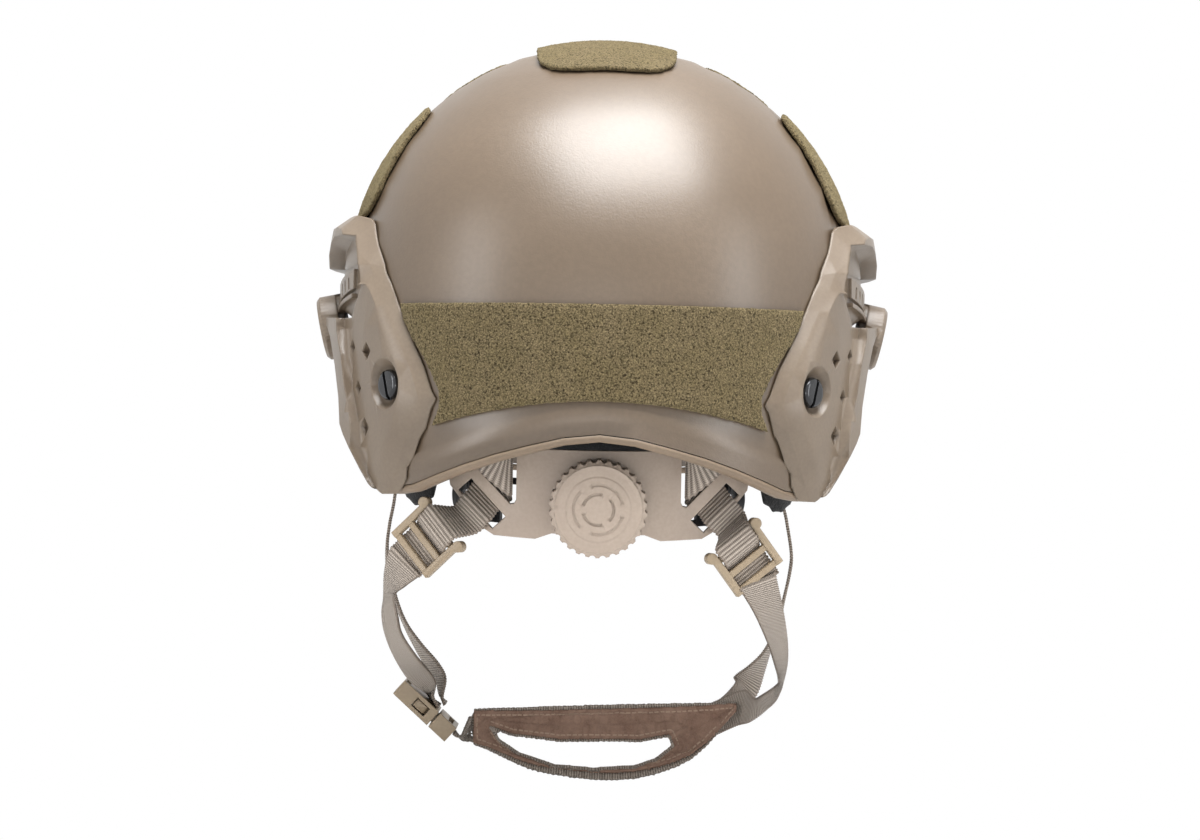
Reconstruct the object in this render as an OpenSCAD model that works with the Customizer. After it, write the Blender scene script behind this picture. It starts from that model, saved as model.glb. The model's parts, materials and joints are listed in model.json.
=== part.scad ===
// High-cut combat helmet: shell, liner, rails, hook-and-loop patches,
// rear dial with a rack-and-pinion head band, and a four-point chin harness.
// Millimetres, +Z up, the brow faces -Y and the wearer's left side is +X.
// The origin is the middle of the head cavity, level with the rear rail screws' lower edge.

/* [Shell] */
// Half the shell's width, outside
half_w = 114.5; // [105:0.5:125]
// Half the shell's length, outside
half_l = 134; // [124:0.5:145]
// Height of the widest ring above the origin
eq_z = 60; // [50:1:70]
// Height of the dome above the widest ring
dome_h = 111; // [100:1:122]
// Wall of the shell
shell_t = 7; // [5:0.5:9]
// Height of the rubber edging round the rim
edge_h = 3; // [2:0.5:5]
// How far the moulded band above the rim stands proud
band_t = 0.9; // [0.4:0.1:1.5]
// Height of the moulded band above the rim
band_h = 13; // [9:1:18]

/* [Liner and pads] */
// Thickness of the impact liner
liner_t = 8; // [5:0.5:12]
// Thickness of the comfort pads at their crown
pad_t = 8; // [6:0.5:9]

/* [Patches] */
// Thickness of a loop patch
patch_t = 2.2; // [1.5:0.1:3.2]
// Width of the crown patch
crown_patch_w = 62; // [50:1:70]

/* [Rails] */
// Thickness of the rail's rear panel
panel_t = 7.5; // [4:0.2:7]
// How far the accessory bars stand out from the shell
bar_t = 11; // [9:0.2:14]
// Diameter of the lock disc on the rail
disc_d = 29; // [24:1:34]
// Thread diameter of the rail screws
screw_d = 5; // [4:0.5:6]
// Head diameter of the rail screws
head_d = 13.5; // [11:0.5:15]

/* [Front shroud] */
// Width of the shroud plate
shroud_w = 56; // [48:1:66]
// Height of the shroud plate
shroud_h = 44; // [40:1:54]
// Width of the shroud's slide slot
slot_w = 26; // [20:1:32]

/* [Nape band] */
// Height of the dial axis at the knob, below the origin
dial_drop = 38; // [32:1:42]
// Angle by which the dial faces down
tilt = 5; // [0:1:8]
// Outer radius of the nape plate's curve
plate_r = 85; // [83:0.5:86]
// Wall of the nape plate
plate_t = 3.5; // [2.5:0.25:4.5]
// Knob diameter over its teeth
knob_d = 42; // [38:1:46]
// Knob thickness
knob_t = 12; // [9:0.5:14]
// Teeth of the pinion
pinion_teeth = 12; // [10:1:14]
// Thickness of a band arm
arm_t = 2; // [1.5:0.1:2.4]
// Height of a band arm beyond the racks
arm_h = 20; // [16:1:22]

/* [Harness] */
// Width of the webbing
web_w = 19; // [16:0.5:22]
// Thickness of the webbing
web_t = 1.5; // [1:0.1:1.8]
// Width of the chin cup's bands
cup_w = 18; // [15:0.5:21]
// Thickness of a buckle body
buckle_t = 8.5; // [7.5:0.5:10]

/* [Hidden] */
$fn = 48;

fit = 0.3;          // clearance between seated pieces
plan_n = 2.15;      // how square the plan outline is
y_mid = 2;          // the shell's middle lies behind the origin
tuck = 0.0000042;   // how fast the wall draws in below the widest ring
ring_n = 54;        // facets round the shell

tan_shell = [0.55, 0.48, 0.40];
tan_rail = [0.60, 0.52, 0.44];
tan_plate = [0.66, 0.57, 0.48];
web_colour = [0.58, 0.53, 0.47];
loop_colour = [0.48, 0.42, 0.28];

// Height of the rim against the angle from the rear, the same on both sides
rim_points = [[0, -9], [18, -17], [35, -28.5], [44, -33.5], [52, -31], [62, -20], [74, 6], [86, 26],
    [100, 33], [112, 28], [125, 8], [138, -12], [151, -22], [165, -26], [180, -26]];

// Smooth curve through points given as [x, y]
function slope(p, i) = i == 0 || i == len(p) - 1 ? 0
    : (p[i + 1][1] - p[i - 1][1]) / (p[i + 1][0] - p[i - 1][0]);
function span_of(p, x, i = 0) = i >= len(p) - 2 || x < p[i + 1][0] ? i : span_of(p, x, i + 1);
function curve(p, x) =
    let (i = span_of(p, x), w = p[i + 1][0] - p[i][0], s = min(1, max(0, (x - p[i][0]) / w)))
    p[i][1] * (2 * s ^ 3 - 3 * s ^ 2 + 1) + p[i + 1][1] * (3 * s ^ 2 - 2 * s ^ 3)
    + slope(p, i) * w * (s ^ 3 - 2 * s ^ 2 + s) + slope(p, i + 1) * w * (s ^ 3 - s ^ 2);

function fold_az(az) = abs(az > 180 ? az - 360 : az);
function rim_z(az) = curve(rim_points, fold_az(az));

// A point on the shell, offset outwards by d. The angle az starts at the rear and
// turns to the left, and t is degrees from the crown, then millimetres below the widest ring
function plan_r(az, d) = 1 / pow(pow(abs(sin(az)) / (half_w + d), plan_n)
    + pow(abs(cos(az)) / (half_l + d), plan_n), 1 / plan_n);
function draw_in(t) = t < 90 ? sin(t) : 1 - tuck * (t - 90) ^ 2;
function height(t, d) = t < 90 ? eq_z + (dome_h + d) * cos(t) : eq_z - (t - 90);
function skin(az, t, d) = let (r = plan_r(az, d) * draw_in(t))
    [r * sin(az), y_mid + r * cos(az), height(t, d)];
function t_at(z) = z > eq_z ? acos((z - eq_z) / dome_h) : 90 + eq_z - z;
function skin_z(az, z, d) = skin(az, t_at(z), d);
function normal_az(az) = let (p = skin_z(az, 0, 0))
    atan2(sign(p.x) * pow(abs(p.x) / half_w, plan_n - 1) / half_w,
        sign(p.y - y_mid) * pow(abs(p.y - y_mid) / half_l, plan_n - 1) / half_l);

// Closed skin over rings of points, each ring a list of the same length
module skin_of(rings, first_cap = true, last_cap = true) {
    n = len(rings[0]);
    m = len(rings);
    sides = [for (j = [0:m - 2], i = [0:n - 1]) let (k = (i + 1) % n)
        each [[j * n + i, j * n + k, (j + 1) * n + k], [j * n + i, (j + 1) * n + k, (j + 1) * n + i]]];
    caps = concat(first_cap ? [for (i = [1:n - 2]) [0, i + 1, i]] : [],
        last_cap ? [for (i = [1:n - 2]) [(m - 1) * n, (m - 1) * n + i, (m - 1) * n + i + 1]] : []);
    polyhedron(points = [for (r = rings, p = r) p], faces = concat(sides, caps));
}

// Closed skin over rings that open from one middle point and close on another
module bowl_of(rings, first, last) {
    n = len(rings[0]);
    m = len(rings);
    polyhedron(points = concat([for (r = rings, p = r) p], [first, last]),
        faces = concat(
            [for (j = [0:m - 2], i = [0:n - 1]) let (k = (i + 1) % n)
                each [[j * n + i, (j + 1) * n + k, j * n + k], [j * n + i, (j + 1) * n + i, (j + 1) * n + k]]],
            [for (i = [0:n - 1]) [m * n, i, (i + 1) % n]],
            [for (i = [0:n - 1]) [m * n + 1, (m - 1) * n + (i + 1) % n, (m - 1) * n + i]]));
}

// Closed skin over a ring of sections: the last section joins the first
module loop_of(rings) {
    n = len(rings[0]);
    m = len(rings);
    polyhedron(points = [for (r = rings, p = r) p],
        faces = [for (j = [0:m - 1], i = [0:n - 1]) let (k = (i + 1) % n, q = (j + 1) % m)
            each [[j * n + i, j * n + k, q * n + k], [j * n + i, q * n + k, q * n + i]]]);
}

// Closed slab between two grids of points of the same size, top and bottom
module slab(top, bottom) {
    m = len(top);
    n = len(top[0]);
    under = m * n;
    function id(j, i) = j * n + i;
    faces = concat(
        [for (j = [0:m - 2], i = [0:n - 2]) each
            [[id(j, i), id(j + 1, i + 1), id(j, i + 1)], [id(j, i), id(j + 1, i), id(j + 1, i + 1)]]],
        [for (j = [0:m - 2], i = [0:n - 2]) each
            [[under + id(j, i), under + id(j, i + 1), under + id(j + 1, i + 1)],
            [under + id(j, i), under + id(j + 1, i + 1), under + id(j + 1, i)]]],
        [for (i = [0:n - 2]) each
            [[id(0, i), under + id(0, i + 1), under + id(0, i)], [id(0, i), id(0, i + 1), under + id(0, i + 1)],
            [id(m - 1, i + 1), under + id(m - 1, i), under + id(m - 1, i + 1)],
            [id(m - 1, i + 1), id(m - 1, i), under + id(m - 1, i)]]],
        [for (j = [0:m - 2]) each
            [[id(j + 1, 0), under + id(j, 0), under + id(j + 1, 0)], [id(j + 1, 0), id(j, 0), under + id(j, 0)],
            [id(j, n - 1), under + id(j + 1, n - 1), under + id(j, n - 1)],
            [id(j, n - 1), id(j + 1, n - 1), under + id(j + 1, n - 1)]]]);
    polyhedron(points = concat([for (r = top, p = r) p], [for (r = bottom, p = r) p]), faces = faces);
}

module both_sides() {
    children();
    mirror([1, 0, 0]) children();
}

// Places a child whose +Z axis points out of the shell, at an angle and a height
module on_skin(az, z, d, aim) {
    translate(skin_z(az, z, 0)) rotate([0, 0, -aim]) rotate([-90, 0, 0]) translate([0, 0, d]) children();
}
// The same place for a point of the child's frame
function on_pt(screw, aim, p) = skin_z(screw[0], screw[1], 0)
    + [p.x * cos(aim) + p.z * sin(aim), -p.x * sin(aim) + p.z * cos(aim), -p.y];

rim_t = function (az, up) 90 + eq_z - rim_z(az) - up;
rear_screw = [45, 13.5];    // angle and height of a rear rail screw
front_screw = [122, 58];    // angle and height of a front rail screw
rear_aim = 50;              // the way a rear screw points, from the rear
front_aim = normal_az(front_screw[0]);

module shell_body() {
    top_rows = 14;
    inner_rows = 11;
    function outer(az, k) = let (t = rim_t(az, edge_h))
        k <= top_rows ? skin(az, (t - band_h) * k / top_rows, 0)
        : k == top_rows + 1 ? skin(az, t - band_h + 1.6, band_t)
        : k == top_rows + 2 ? skin(az, t - band_h / 2, band_t)
        : skin(az, t, band_t);
    function inner(az, k) = let (t = rim_t(az, edge_h)) skin(az, t * (1 - k / inner_rows), -shell_t);
    rings = concat([for (k = [1:top_rows + 3]) [for (i = [0:ring_n - 1]) outer(360 * i / ring_n, k)]],
        [for (k = [0:inner_rows - 1]) [for (i = [0:ring_n - 1]) inner(360 * i / ring_n, k)]]);
    bowl_of(rings, skin(0, 0, 0), skin(0, 0, -shell_t));
}

// Bores for the rail screws, through whatever they cross
module screw_bores(d) {
    both_sides() {
        on_skin(rear_screw[0], rear_screw[1], -40, rear_aim) cylinder(d = d, h = 60);
        on_skin(front_screw[0], front_screw[1], -40, front_aim) cylinder(d = d, h = 60);
    }
}

shroud_z = 62;
shroud_holes = [[0, 88], [-20, 44], [20, 44]];   // across and up, of the shroud's screws

module shroud_bores(d) {
    for (h = shroud_holes) translate([h[0], -half_l - 20, h[1]]) rotate([-90, 0, 0]) cylinder(d = d, h = 70);
}

module shell() color(tan_shell) difference() {
    shell_body();
    screw_bores(screw_d + 0.4);
    shroud_bores(screw_d + 0.4);
}

module edge_trim() color([0.60, 0.53, 0.43])
    loop_of([for (i = [0:ring_n - 1]) let (az = 360 * i / ring_n, t = rim_t(az, edge_h) + 0.4)
        [skin(az, t, -shell_t), skin(az, t, band_t), skin(az, t + edge_h * 0.55, band_t),
            skin(az, t + edge_h, -1.4), skin(az, t + edge_h, -shell_t + 2), skin(az, t + edge_h * 0.55, -shell_t)]]);

channel_w = 4;
liner_cap = 60;
liner_d = -shell_t - 1.3;
pad_d = liner_d - liner_t - 0.9;
module liner() {
    in_d = liner_d - liner_t;
    n = ring_n;
    rows = 11;
    function ring(k, d, up) = [for (i = [0:n - 1]) let (az = 360 * i / n) skin(az, rim_t(az, up) * k / rows, d)];
    rings = concat([for (k = [1:rows]) ring(k, liner_d, 11)], [for (k = [rows:-1:1]) ring(k, in_d, 13)]);
    color([0.10, 0.10, 0.10]) difference() {
        bowl_of(rings, skin(0, 0, liner_d), skin(0, 0, in_d));
        screw_bores(55);
        shroud_bores(14);
        // way down from the front anchors for their webbing
        both_sides() on_skin(front_screw[0], front_screw[1], -40, front_aim) translate([-17, 0, 0]) cube([34, 70, 60]);
        // way for the rear webbing from its anchor to the nape plate
        both_sides() hull() for (p = [skin_z(rear_screw[0], rear_screw[1] - 14, -2), nape_pt(57, plate_r + 1, 29),
            nape_pt(46, plate_r + 1, 17)])
            translate(p) sphere(r = 15, $fn = 20);
        // air channels between the crown piece and the six side pieces
        for (k = [0:5]) rotate([0, 0, 30 + 60 * k]) translate([-channel_w / 2, liner_cap, -60])
            cube([channel_w, 120, 260]);
        translate([0, 0, 40]) difference() {
            cylinder(r = liner_cap + channel_w, h = 120);
            translate([0, 0, -1]) cylinder(r = liner_cap, h = 122);
        }
    }
}

pad_black = [0.13, 0.13, 0.13];

// A pad seen from its middle: rings spread from it, and the last ones close the crown
module pad(at, thick) {
    n = 22;
    corner = 3.2;
    function edge(a) = pow(pow(abs(cos(a)), corner) + pow(abs(sin(a)), corner), -1 / corner);
    function spot(a, r, d) = at(r * edge(a) * cos(a), r * edge(a) * sin(a), d);
    steps = [[0.5, 0], [0.93, 0], [1, 0.3], [0.985, 0.55], [0.92, 0.8], [0.72, 0.93], [0.4, 0.99]];
    rings = [for (s = steps) [for (i = [0:n - 1]) spot(-360 * i / n, s[0], pad_d - thick * s[1])]];
    bowl_of(rings, spot(0, 0, pad_d), spot(0, 0, pad_d - thick));
}
module front_pad() color(pad_black) pad(function (u, v, d) skin(180 + 30 * u, 137 + 33 * v, d), pad_t);
module crown_pad() color(pad_black) pad(function (u, v, d) skin(atan2(u, v), 26 * norm([u, v]), d), pad_t);
module side_pads() color(pad_black) both_sides() pad(function (u, v, d) skin(92 + 18 * u, 78 + 24 * v, d - 0.9), pad_t);
module back_pads() color(pad_black) both_sides() pad(function (u, v, d) skin(56 + 15 * u, 156 + 36 * v, d), pad_t);

// Grid of points from a rule: rows along v and columns along u, both 0 to 1
function grid(at, rows, cols, d) = [for (j = [0:rows]) [for (i = [0:cols]) at(i / cols, j / rows, d)]];

// A loop patch glued on the shell, with a rounded outline
module patch(at, rows, cols) {
    top = grid(at, rows, cols, patch_t + fit);
    bottom = grid(at, rows, cols, fit);
    color(loop_colour) slab(top, bottom);
}

// Lower and upper edge of the rail against the angle from the rear
rail_low = [[33, 7], [35.5, -4], [38.5, -15], [41.5, -28], [44, -33], [49, -34], [55, -27], [60, -18], [62, -13],
    [63.5, 0], [66, 16], [71, 30], [80, 36], [101, 37], [120, 38], [134, 43], [137, 52]];
rail_high = [[33, 8], [35.6, 20], [44.3, 50], [51, 70], [58, 85], [63, 87], [74, 86.5], [100, 83], [121, 75],
    [134, 62], [137, 54]];
rail_cols = [33, 34, 36, 38.5, 41.5, 45, 49, 53, 57, 60, 62, 63.5, 66, 71, 77, 84, 92, 101, 110, 120, 128, 134, 137];
rail_rows = 11;
function rail_d(az) = bar_t * (1 - 0.45 * ramp(116, 134, az));
rail_gap = fit + 0.16;
function rail_base(az, z) = rail_gap + (z < rim_z(az) + edge_h + band_h + 4 ? band_t : 0);
function ramp(a, b, x) = let (s = min(1, max(0, (x - a) / (b - a)))) s * s * (3 - 2 * s);

module rail_slab() {
    last = len(rail_cols) - 1;
    function z_at(az, j) = let (a = curve(rail_low, az), b = curve(rail_high, az)) a + (b - a) * j / rail_rows;
    function edge(i, j) = i == 0 || i == last || j == 0 || j == rail_rows ? 0.55 : 1;
    function rows(on) = [for (j = [0:rail_rows]) [for (i = [last:-1:0]) let (az = rail_cols[i], z = z_at(az, j))
        skin_z(az, z, (on ? rail_d(az) * edge(i, j) : 0) + rail_base(az, z))]];
    slab(rows(true), rows(false));
}

// What lies outside a surface on the rail: each edge is [height, angle, depth, angle, depth]
module carve(edges, cols) {
    function rows(up) = [for (e = edges) [for (i = [cols:-1:0]) let (q = i / cols)
        skin_z(e[1] + (e[3] - e[1]) * q, e[0], up ? 34 : e[2] + (e[4] - e[2]) * q)]];
    slab(rows(true), rows(false));
}
// Slope along the rear edge: height, angle of the edge and of the crease where the slope ends
rear_slope = [[-38, 44, 54], [-27, 41.2, 49], [-14, 38.3, 44], [-4, 35.8, 40.6], [8, 33, 39.3], [22, 36.3, 41],
    [33, 39.5, 43.8], [49, 44.4, 48.2], [58, 47.4, 52.3], [66, 50, 55], [79, 56, 62], [85, 58.5, 65], [94, 60, 67]];
// Step from the rear panel up to the slide bar, and the depth of the panel there
panel_step = [[-40, 47, 4.6], [-33, 50.5, 5.4], [-25, 54.2, 6.2], [-14, 56.3, panel_t], [-3, 56, panel_t], [12, 59, panel_t],
    [27, 61, panel_t], [38, 64, panel_t], [57, 64, panel_t]];
// Channel between the bars: height and the angles of its two ends
channel_ends = [[43, 59.2, 66], [47.5, 57.5, 127], [58, 53.3, 127], [65, 54.6, 126], [66.5, 55, 90], [73, 57.7, 82],
    [78, 60, 72]];
channel_d = 3.6;
// Lower front edge of the slide bar, angle against height
slide_edge = [[-20, 59.5], [-14, 61.8], [0, 63.5], [16, 66], [30, 71]];
disc_y = 9;
disc_z = 41;
disc_lean = 12;
// Diamond pockets of the rear panel: angle, height and size
pockets = [[58, 30, 4.6], [51, 28, 6], [55.2, 12, 4.8], [52.6, -5, 6.2]];
module disc_place() translate([half_w + 4.5, disc_y, disc_z]) rotate([0, 90 + disc_lean, 0]) children();
module ladder_strip(low, high, d) {
    at = function (u, v, e) skin_z(84 - 23 * u, 47 + 6.5 * u + low + (high - low) * v, e);
    slab(grid(at, 1, 6, d), grid(at, 1, 6, channel_d - 1));
}

module rail_solid() {
    slope_d = 1.2;
    difference() {
        union() {
            difference() {
                rail_slab();
                carve([for (e = rear_slope) let (rise = ((e[0] > 60 ? 9.4 : panel_t) - slope_d) / (e[2] - e[1]))
                    [e[0], e[1] - 3, slope_d - 3 * rise, e[2] + 3, slope_d + rise * (e[2] - e[1] + 3)]], 2);
                carve([for (e = panel_step) [e[0], 30, e[2], e[1], e[2]]], 6);
                carve([for (e = channel_ends) [e[0], e[1], channel_d, e[2], channel_d]], 10);
            }
            disc_place() {
                cylinder(d = disc_d, h = 7.5);
                translate([-4, 0, -3]) cylinder(d = disc_d - 8, h = 6);
                translate([0, 0, 7.5]) cylinder(d1 = disc_d, d2 = disc_d - 3, h = 1.5);
            }
            ladder_strip(2.5, 11, channel_d + 1.8);
            ladder_strip(-1.5, 0.3, channel_d + 2.6);
        }
        // dish and bore of the rear screw, seat and bore of the front one
        on_skin(rear_screw[0], rear_screw[1], 1.8, rear_aim) cylinder(d1 = head_d + 1.5, d2 = head_d + 12, h = 8);
        on_skin(rear_screw[0], rear_screw[1], -40, rear_aim) cylinder(d = screw_d + 0.4, h = 60);
        on_skin(front_screw[0], front_screw[1], 3, front_aim) cylinder(d = head_d + 2, h = 14);
        on_skin(front_screw[0], front_screw[1], -40, front_aim) cylinder(d = screw_d + 0.4, h = 60);
        // oval recess in the disc
        disc_place() translate([0, 0, 6]) {
            for (s = [-5.5, 5.5]) translate([s, 0, 0]) cylinder(d = 11, h = 9);
            translate([-5.5, -5.5, 0]) cube([11, 11, 9]);
        }
        for (p = pockets) on_skin(p[0], p[1], panel_t - 3, normal_az(p[0]))
            rotate([0, 0, 45]) translate([-p[2] / 2, -p[2] / 2, 0]) cube([p[2], p[2], 6]);
        // ladder slots
        for (k = [0:4]) let (a = 64.6 + 3.9 * k) on_skin(a, 58.4 - 1.1 * k, channel_d, normal_az(a))
            rotate([0, 0, 10]) translate([-1.3, -2.7, 0]) cube([2.6, 5.4, 6]);
        // notches along the lower front edge of the slide bar
        for (z = [-12:6.4:20]) let (a = curve(slide_edge, z)) on_skin(a + 1, z, 6.6, normal_az(a))
            cylinder(d = 4.2, h = 12, $fn = 24);
    }
}

module rail_left() color(tan_rail) rail_solid();
module rail_right() color(tan_rail) mirror([1, 0, 0]) rail_solid();

head_seat = 1.9;
module rail_screw(rise) {
    under = nut_depth + head_seat + rise;
    difference() {
        union() {
            cylinder(d = screw_d, h = under + 0.2);
            translate([0, 0, under]) intersection() {
                cylinder(d = head_d, h = 4.6);
                translate([0, 0, 4.6 - 14]) sphere(r = 14);
            }
        }
        translate([-head_d, -1, under + 2.6]) cube([2 * head_d, 2, 4]);
    }
}
module rail_nut() {
    difference() {
        union() {
            translate([0, 0, -1.8]) cylinder(d = 15, h = 1.8);
            cylinder(d = 8, h = 3.4);
        }
        translate([0, 0, -3]) cylinder(d = screw_d + 0.12, h = 12);
    }
}
module rear_screw_place() on_skin(rear_screw[0], rear_screw[1], 0, rear_aim) children();
module front_screw_place() on_skin(front_screw[0], front_screw[1], 0, front_aim) children();

// From the inside of the shell outwards: nut flange, anchor plate, shell, rail, screw head
nut_depth = shell_t + 5.2;
module rail_screws() color([0.2, 0.2, 0.21]) both_sides() {
    rear_screw_place() translate([0, 0, -nut_depth]) rail_screw(0);
    front_screw_place() translate([0, 0, -nut_depth]) rail_screw(1.3);
}
module rail_nuts() color([0.35, 0.35, 0.36]) both_sides() {
    rear_screw_place() translate([0, 0, -nut_depth]) rail_nut();
    front_screw_place() translate([0, 0, -nut_depth]) rail_nut();
}

// Anchor plate: a ring round the nut's barrel and a slot for the webbing
anchor_slot = [web_w + 1, 3.2];
anchor_drop = 17;
rear_turn = 40;
module anchor_plate(drop, turn) rotate([0, 0, turn]) difference() {
    linear_extrude(2.2) union() {
        circle(d = 20);
        translate([-6, 0]) square([12, drop - 2]);
        translate([-web_w / 2 - 3, drop - 5]) square([web_w + 6, 11]);
    }
    translate([0, 0, -1]) cylinder(d = 8.4, h = 5);
    translate([-anchor_slot[0] / 2, drop - 1.2, -1]) cube([anchor_slot[0], anchor_slot[1], 5]);
}
module rear_anchors() color([0.12, 0.12, 0.12]) both_sides()
    rear_screw_place() translate([0, 0, -nut_depth + 0.3]) anchor_plate(anchor_drop, rear_turn);
module front_anchors() color([0.12, 0.12, 0.12]) both_sides()
    front_screw_place() translate([0, 0, -nut_depth + 0.3]) anchor_plate(anchor_drop, 0);

// Angle of the rail's rear edge at a height
rail_side = [[-28, 38.6], [-4, 35.6], [7, 33], [20, 35.6], [50, 44.3]];
function rail_edge(z) = curve(rail_side, z);
module rear_patch() patch(function (u, v, d)
    let (w = 2 * u - 1, low = 7.6 - 11.6 * w ^ 2, z = low + (48.6 - low) * v)
    skin_z(-w * (rail_edge(z) - 1.6), z, d), 7, 22);

function top_skin(x, y, d) = let (az = atan2(x, y), r = norm([x, y])) skin(az, asin(r / plan_r(az, 0)), d);
module crown_patch() patch(function (u, v, d)
    let (w = 2 * u - 1, q = 2 * v - 1, half = crown_patch_w / 2 * (1 - 0.22 * q ^ 8))
    top_skin(half * w, 7 + (67 - 5 * w ^ 4) * q, d), 16, 8);
module side_patches() both_sides() patch(function (u, v, d)
    let (w = 2 * u - 1, q = 2 * v - 1)
    skin(87 - 26 * w * (1 - 0.12 * q ^ 6), 60.5 - 15.5 * q * (1 - 0.12 * w ^ 6), d), 6, 10);
module front_patches() both_sides() patch(function (u, v, d)
    let (w = 2 * u - 1, q = 2 * v - 1)
    skin(122 - 26 * w * (1 - 0.1 * q ^ 6), 33 - 10 * q * (1 - 0.1 * w ^ 6), d), 5, 8);

shroud_t = 6;
module shroud() {
    at = function (u, v, d) let (z = shroud_z + shroud_h * (v - 0.5) + 2,
        half = shroud_w / 2 * (1 - 0.45 * v ^ 2) * (1 - 0.08 * (1 - v) ^ 4),
        x = half * (2 * u - 1), t = t_at(z), r = plan_r(180, 0),
        az = 180 - asin(x / (r * draw_in(t)))) skin(az, t, d);
    color([0.24, 0.22, 0.19]) difference() {
        slab(grid(at, 10, 12, shroud_t), grid(at, 10, 12, fit));
        shroud_bores(screw_d + 0.4);
        for (h = shroud_holes) translate([h[0], -half_l - 20, h[1]]) rotate([-90, 0, 0])
            cylinder(d = 10, h = half_l + 20 + front_y(h) - shroud_seat);
        // slide slot for an accessory shoe, open at the top and undercut behind its lips
        translate([-slot_w / 2, -half_l - shroud_t - 2, 51]) cube([slot_w, shroud_t + 1, 22]);
    }
}
function front_y(h) = let (t = t_at(h[1])) skin(180 - asin(h[0] / (plan_r(180, 0) * draw_in(t))), t, 0).y;
shroud_seat = 3;
nut_seat = 3.9;      // behind the shell's nominal thickness, where the slope leaves room for a flat nut
module shroud_screws() color([0.2, 0.2, 0.21]) for (h = shroud_holes)
    translate([h[0], front_y(h) - shroud_seat - 0.1, h[1]]) rotate([-90, 0, 0]) difference() {
        union() {
            translate([0, 0, -2.6]) cylinder(d = 9, h = 2.6);
            cylinder(d = screw_d, h = shell_t + shroud_seat + nut_seat + 3.2);
        }
        translate([-6, -0.7, -3]) cube([12, 1.4, 1.6]);
    }
module shroud_nuts() color([0.35, 0.35, 0.36]) for (h = shroud_holes)
    translate([h[0], front_y(h) + shell_t + nut_seat, h[1]]) rotate([-90, 0, 0]) difference() {
        cylinder(d = 12, h = 3);
        translate([0, 0, -1]) cylinder(d = screw_d + 0.12, h = 6);
    }

// Nape assembly, in its own frame: the dial axis is along +Y and the band curves round z
nape_y = 22;
dial_face_y = nape_y + plate_r;
nape_z = -dial_drop + dial_face_y * sin(tilt) + 0.8;
module nape_frame() translate([0, 0, nape_z]) rotate([-tilt, 0, 0]) children();
function nape_pt(x, r, z) = let (y = nape_y + sqrt(r ^ 2 - x ^ 2))
    [x, y * cos(tilt) + z * sin(tilt), nape_z - y * sin(tilt) + z * cos(tilt)];

module sector(r1, r2, a1, a2, z1, z2) translate([0, nape_y, z1]) intersection() {
    difference() {
        cylinder(r = r2, h = z2 - z1, $fn = 180);
        translate([0, 0, -1]) cylinder(r = r1, h = z2 - z1 + 2, $fn = 180);
    }
    linear_extrude(z2 - z1) polygon(concat([[0, 0]], [for (a = [a1, (a1 + a2) / 2, a2]) 3 * r2 * [-sin(a), cos(a)]]));
}

plate_outline = [[0, 24], [33.5, 24], [35.5, 22], [35.5, 1.4], [36.3, -0.2], [38, -0.6], [55, 15.9], [58.5, 17.6],
    [62.5, 15], [65.5, 8], [65, 5], [49.5, -12.2], [45, -14.6], [27, -14.9], [20, -12.2], [0, -12.2]];
web_slot = [[39.9, -6.3], [55.4, 9.1], [61.2, 3.4], [45.7, -12]];
web_way = web_t + 1.5;    // room for the webbing between the plate and the arms
channel = 0.3;
arm_r = plate_r - plate_t - web_way - arm_t;
module through(points) rotate([90, 0, 0]) translate([0, 0, -nape_y - plate_r - 10])
    linear_extrude(60) polygon(points);

module nape_plate() color(tan_plate) nape_frame() difference() {
    union() {
        intersection() {
            sector(plate_r - plate_t, plate_r, -56, 56, -16, 25);
            both_sides() through(plate_outline);
        }
        // guide ribs that hold the racks against the tray
        for (z = [8.3, -10.4])
            sector(arm_r + arm_t + channel, plate_r - plate_t + 0.2, -cover_half, cover_half, z, z + 2.1);
    }
    both_sides() through(web_slot);
    rotate([-90, 0, 0]) cylinder(d = 8.1, h = 130);
}

// Tray behind the plate: it closes the channel in which both racks slide
cover_half = 21;
module nape_cover() color([0.16, 0.16, 0.16]) nape_frame() difference() {
    sector(arm_r - channel - 1.6, plate_r - plate_t - 0.05, -cover_half, cover_half, -11.8, 12.6);
    sector(arm_r - channel, plate_r, -cover_half - 3, cover_half + 3, -10.8, 10.8);
    rotate([-90, 0, 0]) cylinder(d = 8, h = 130);
}

module nape_pad() {
    half = 19;
    n = 28;
    function spot(a, s, r) = let (e = pow(pow(abs(cos(a)), 3) + pow(abs(sin(a)), 3), -1 / 3), g = half * s * e * cos(a))
        [-r * sin(g), nape_y + r * cos(g), 0.4 + 11 * s * e * sin(a)];
    back = arm_r - channel - 1.6 - 0.4;
    steps = [[0.5, 0], [0.92, 0], [1, 0.3], [0.97, 0.6], [0.8, 0.88], [0.4, 1]];
    rings = [for (s = steps) [for (i = [0:n - 1]) spot(360 * i / n, s[0], back - 8 * s[1])]];
    color(pad_black) nape_frame() skin_of(rings);
}

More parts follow.
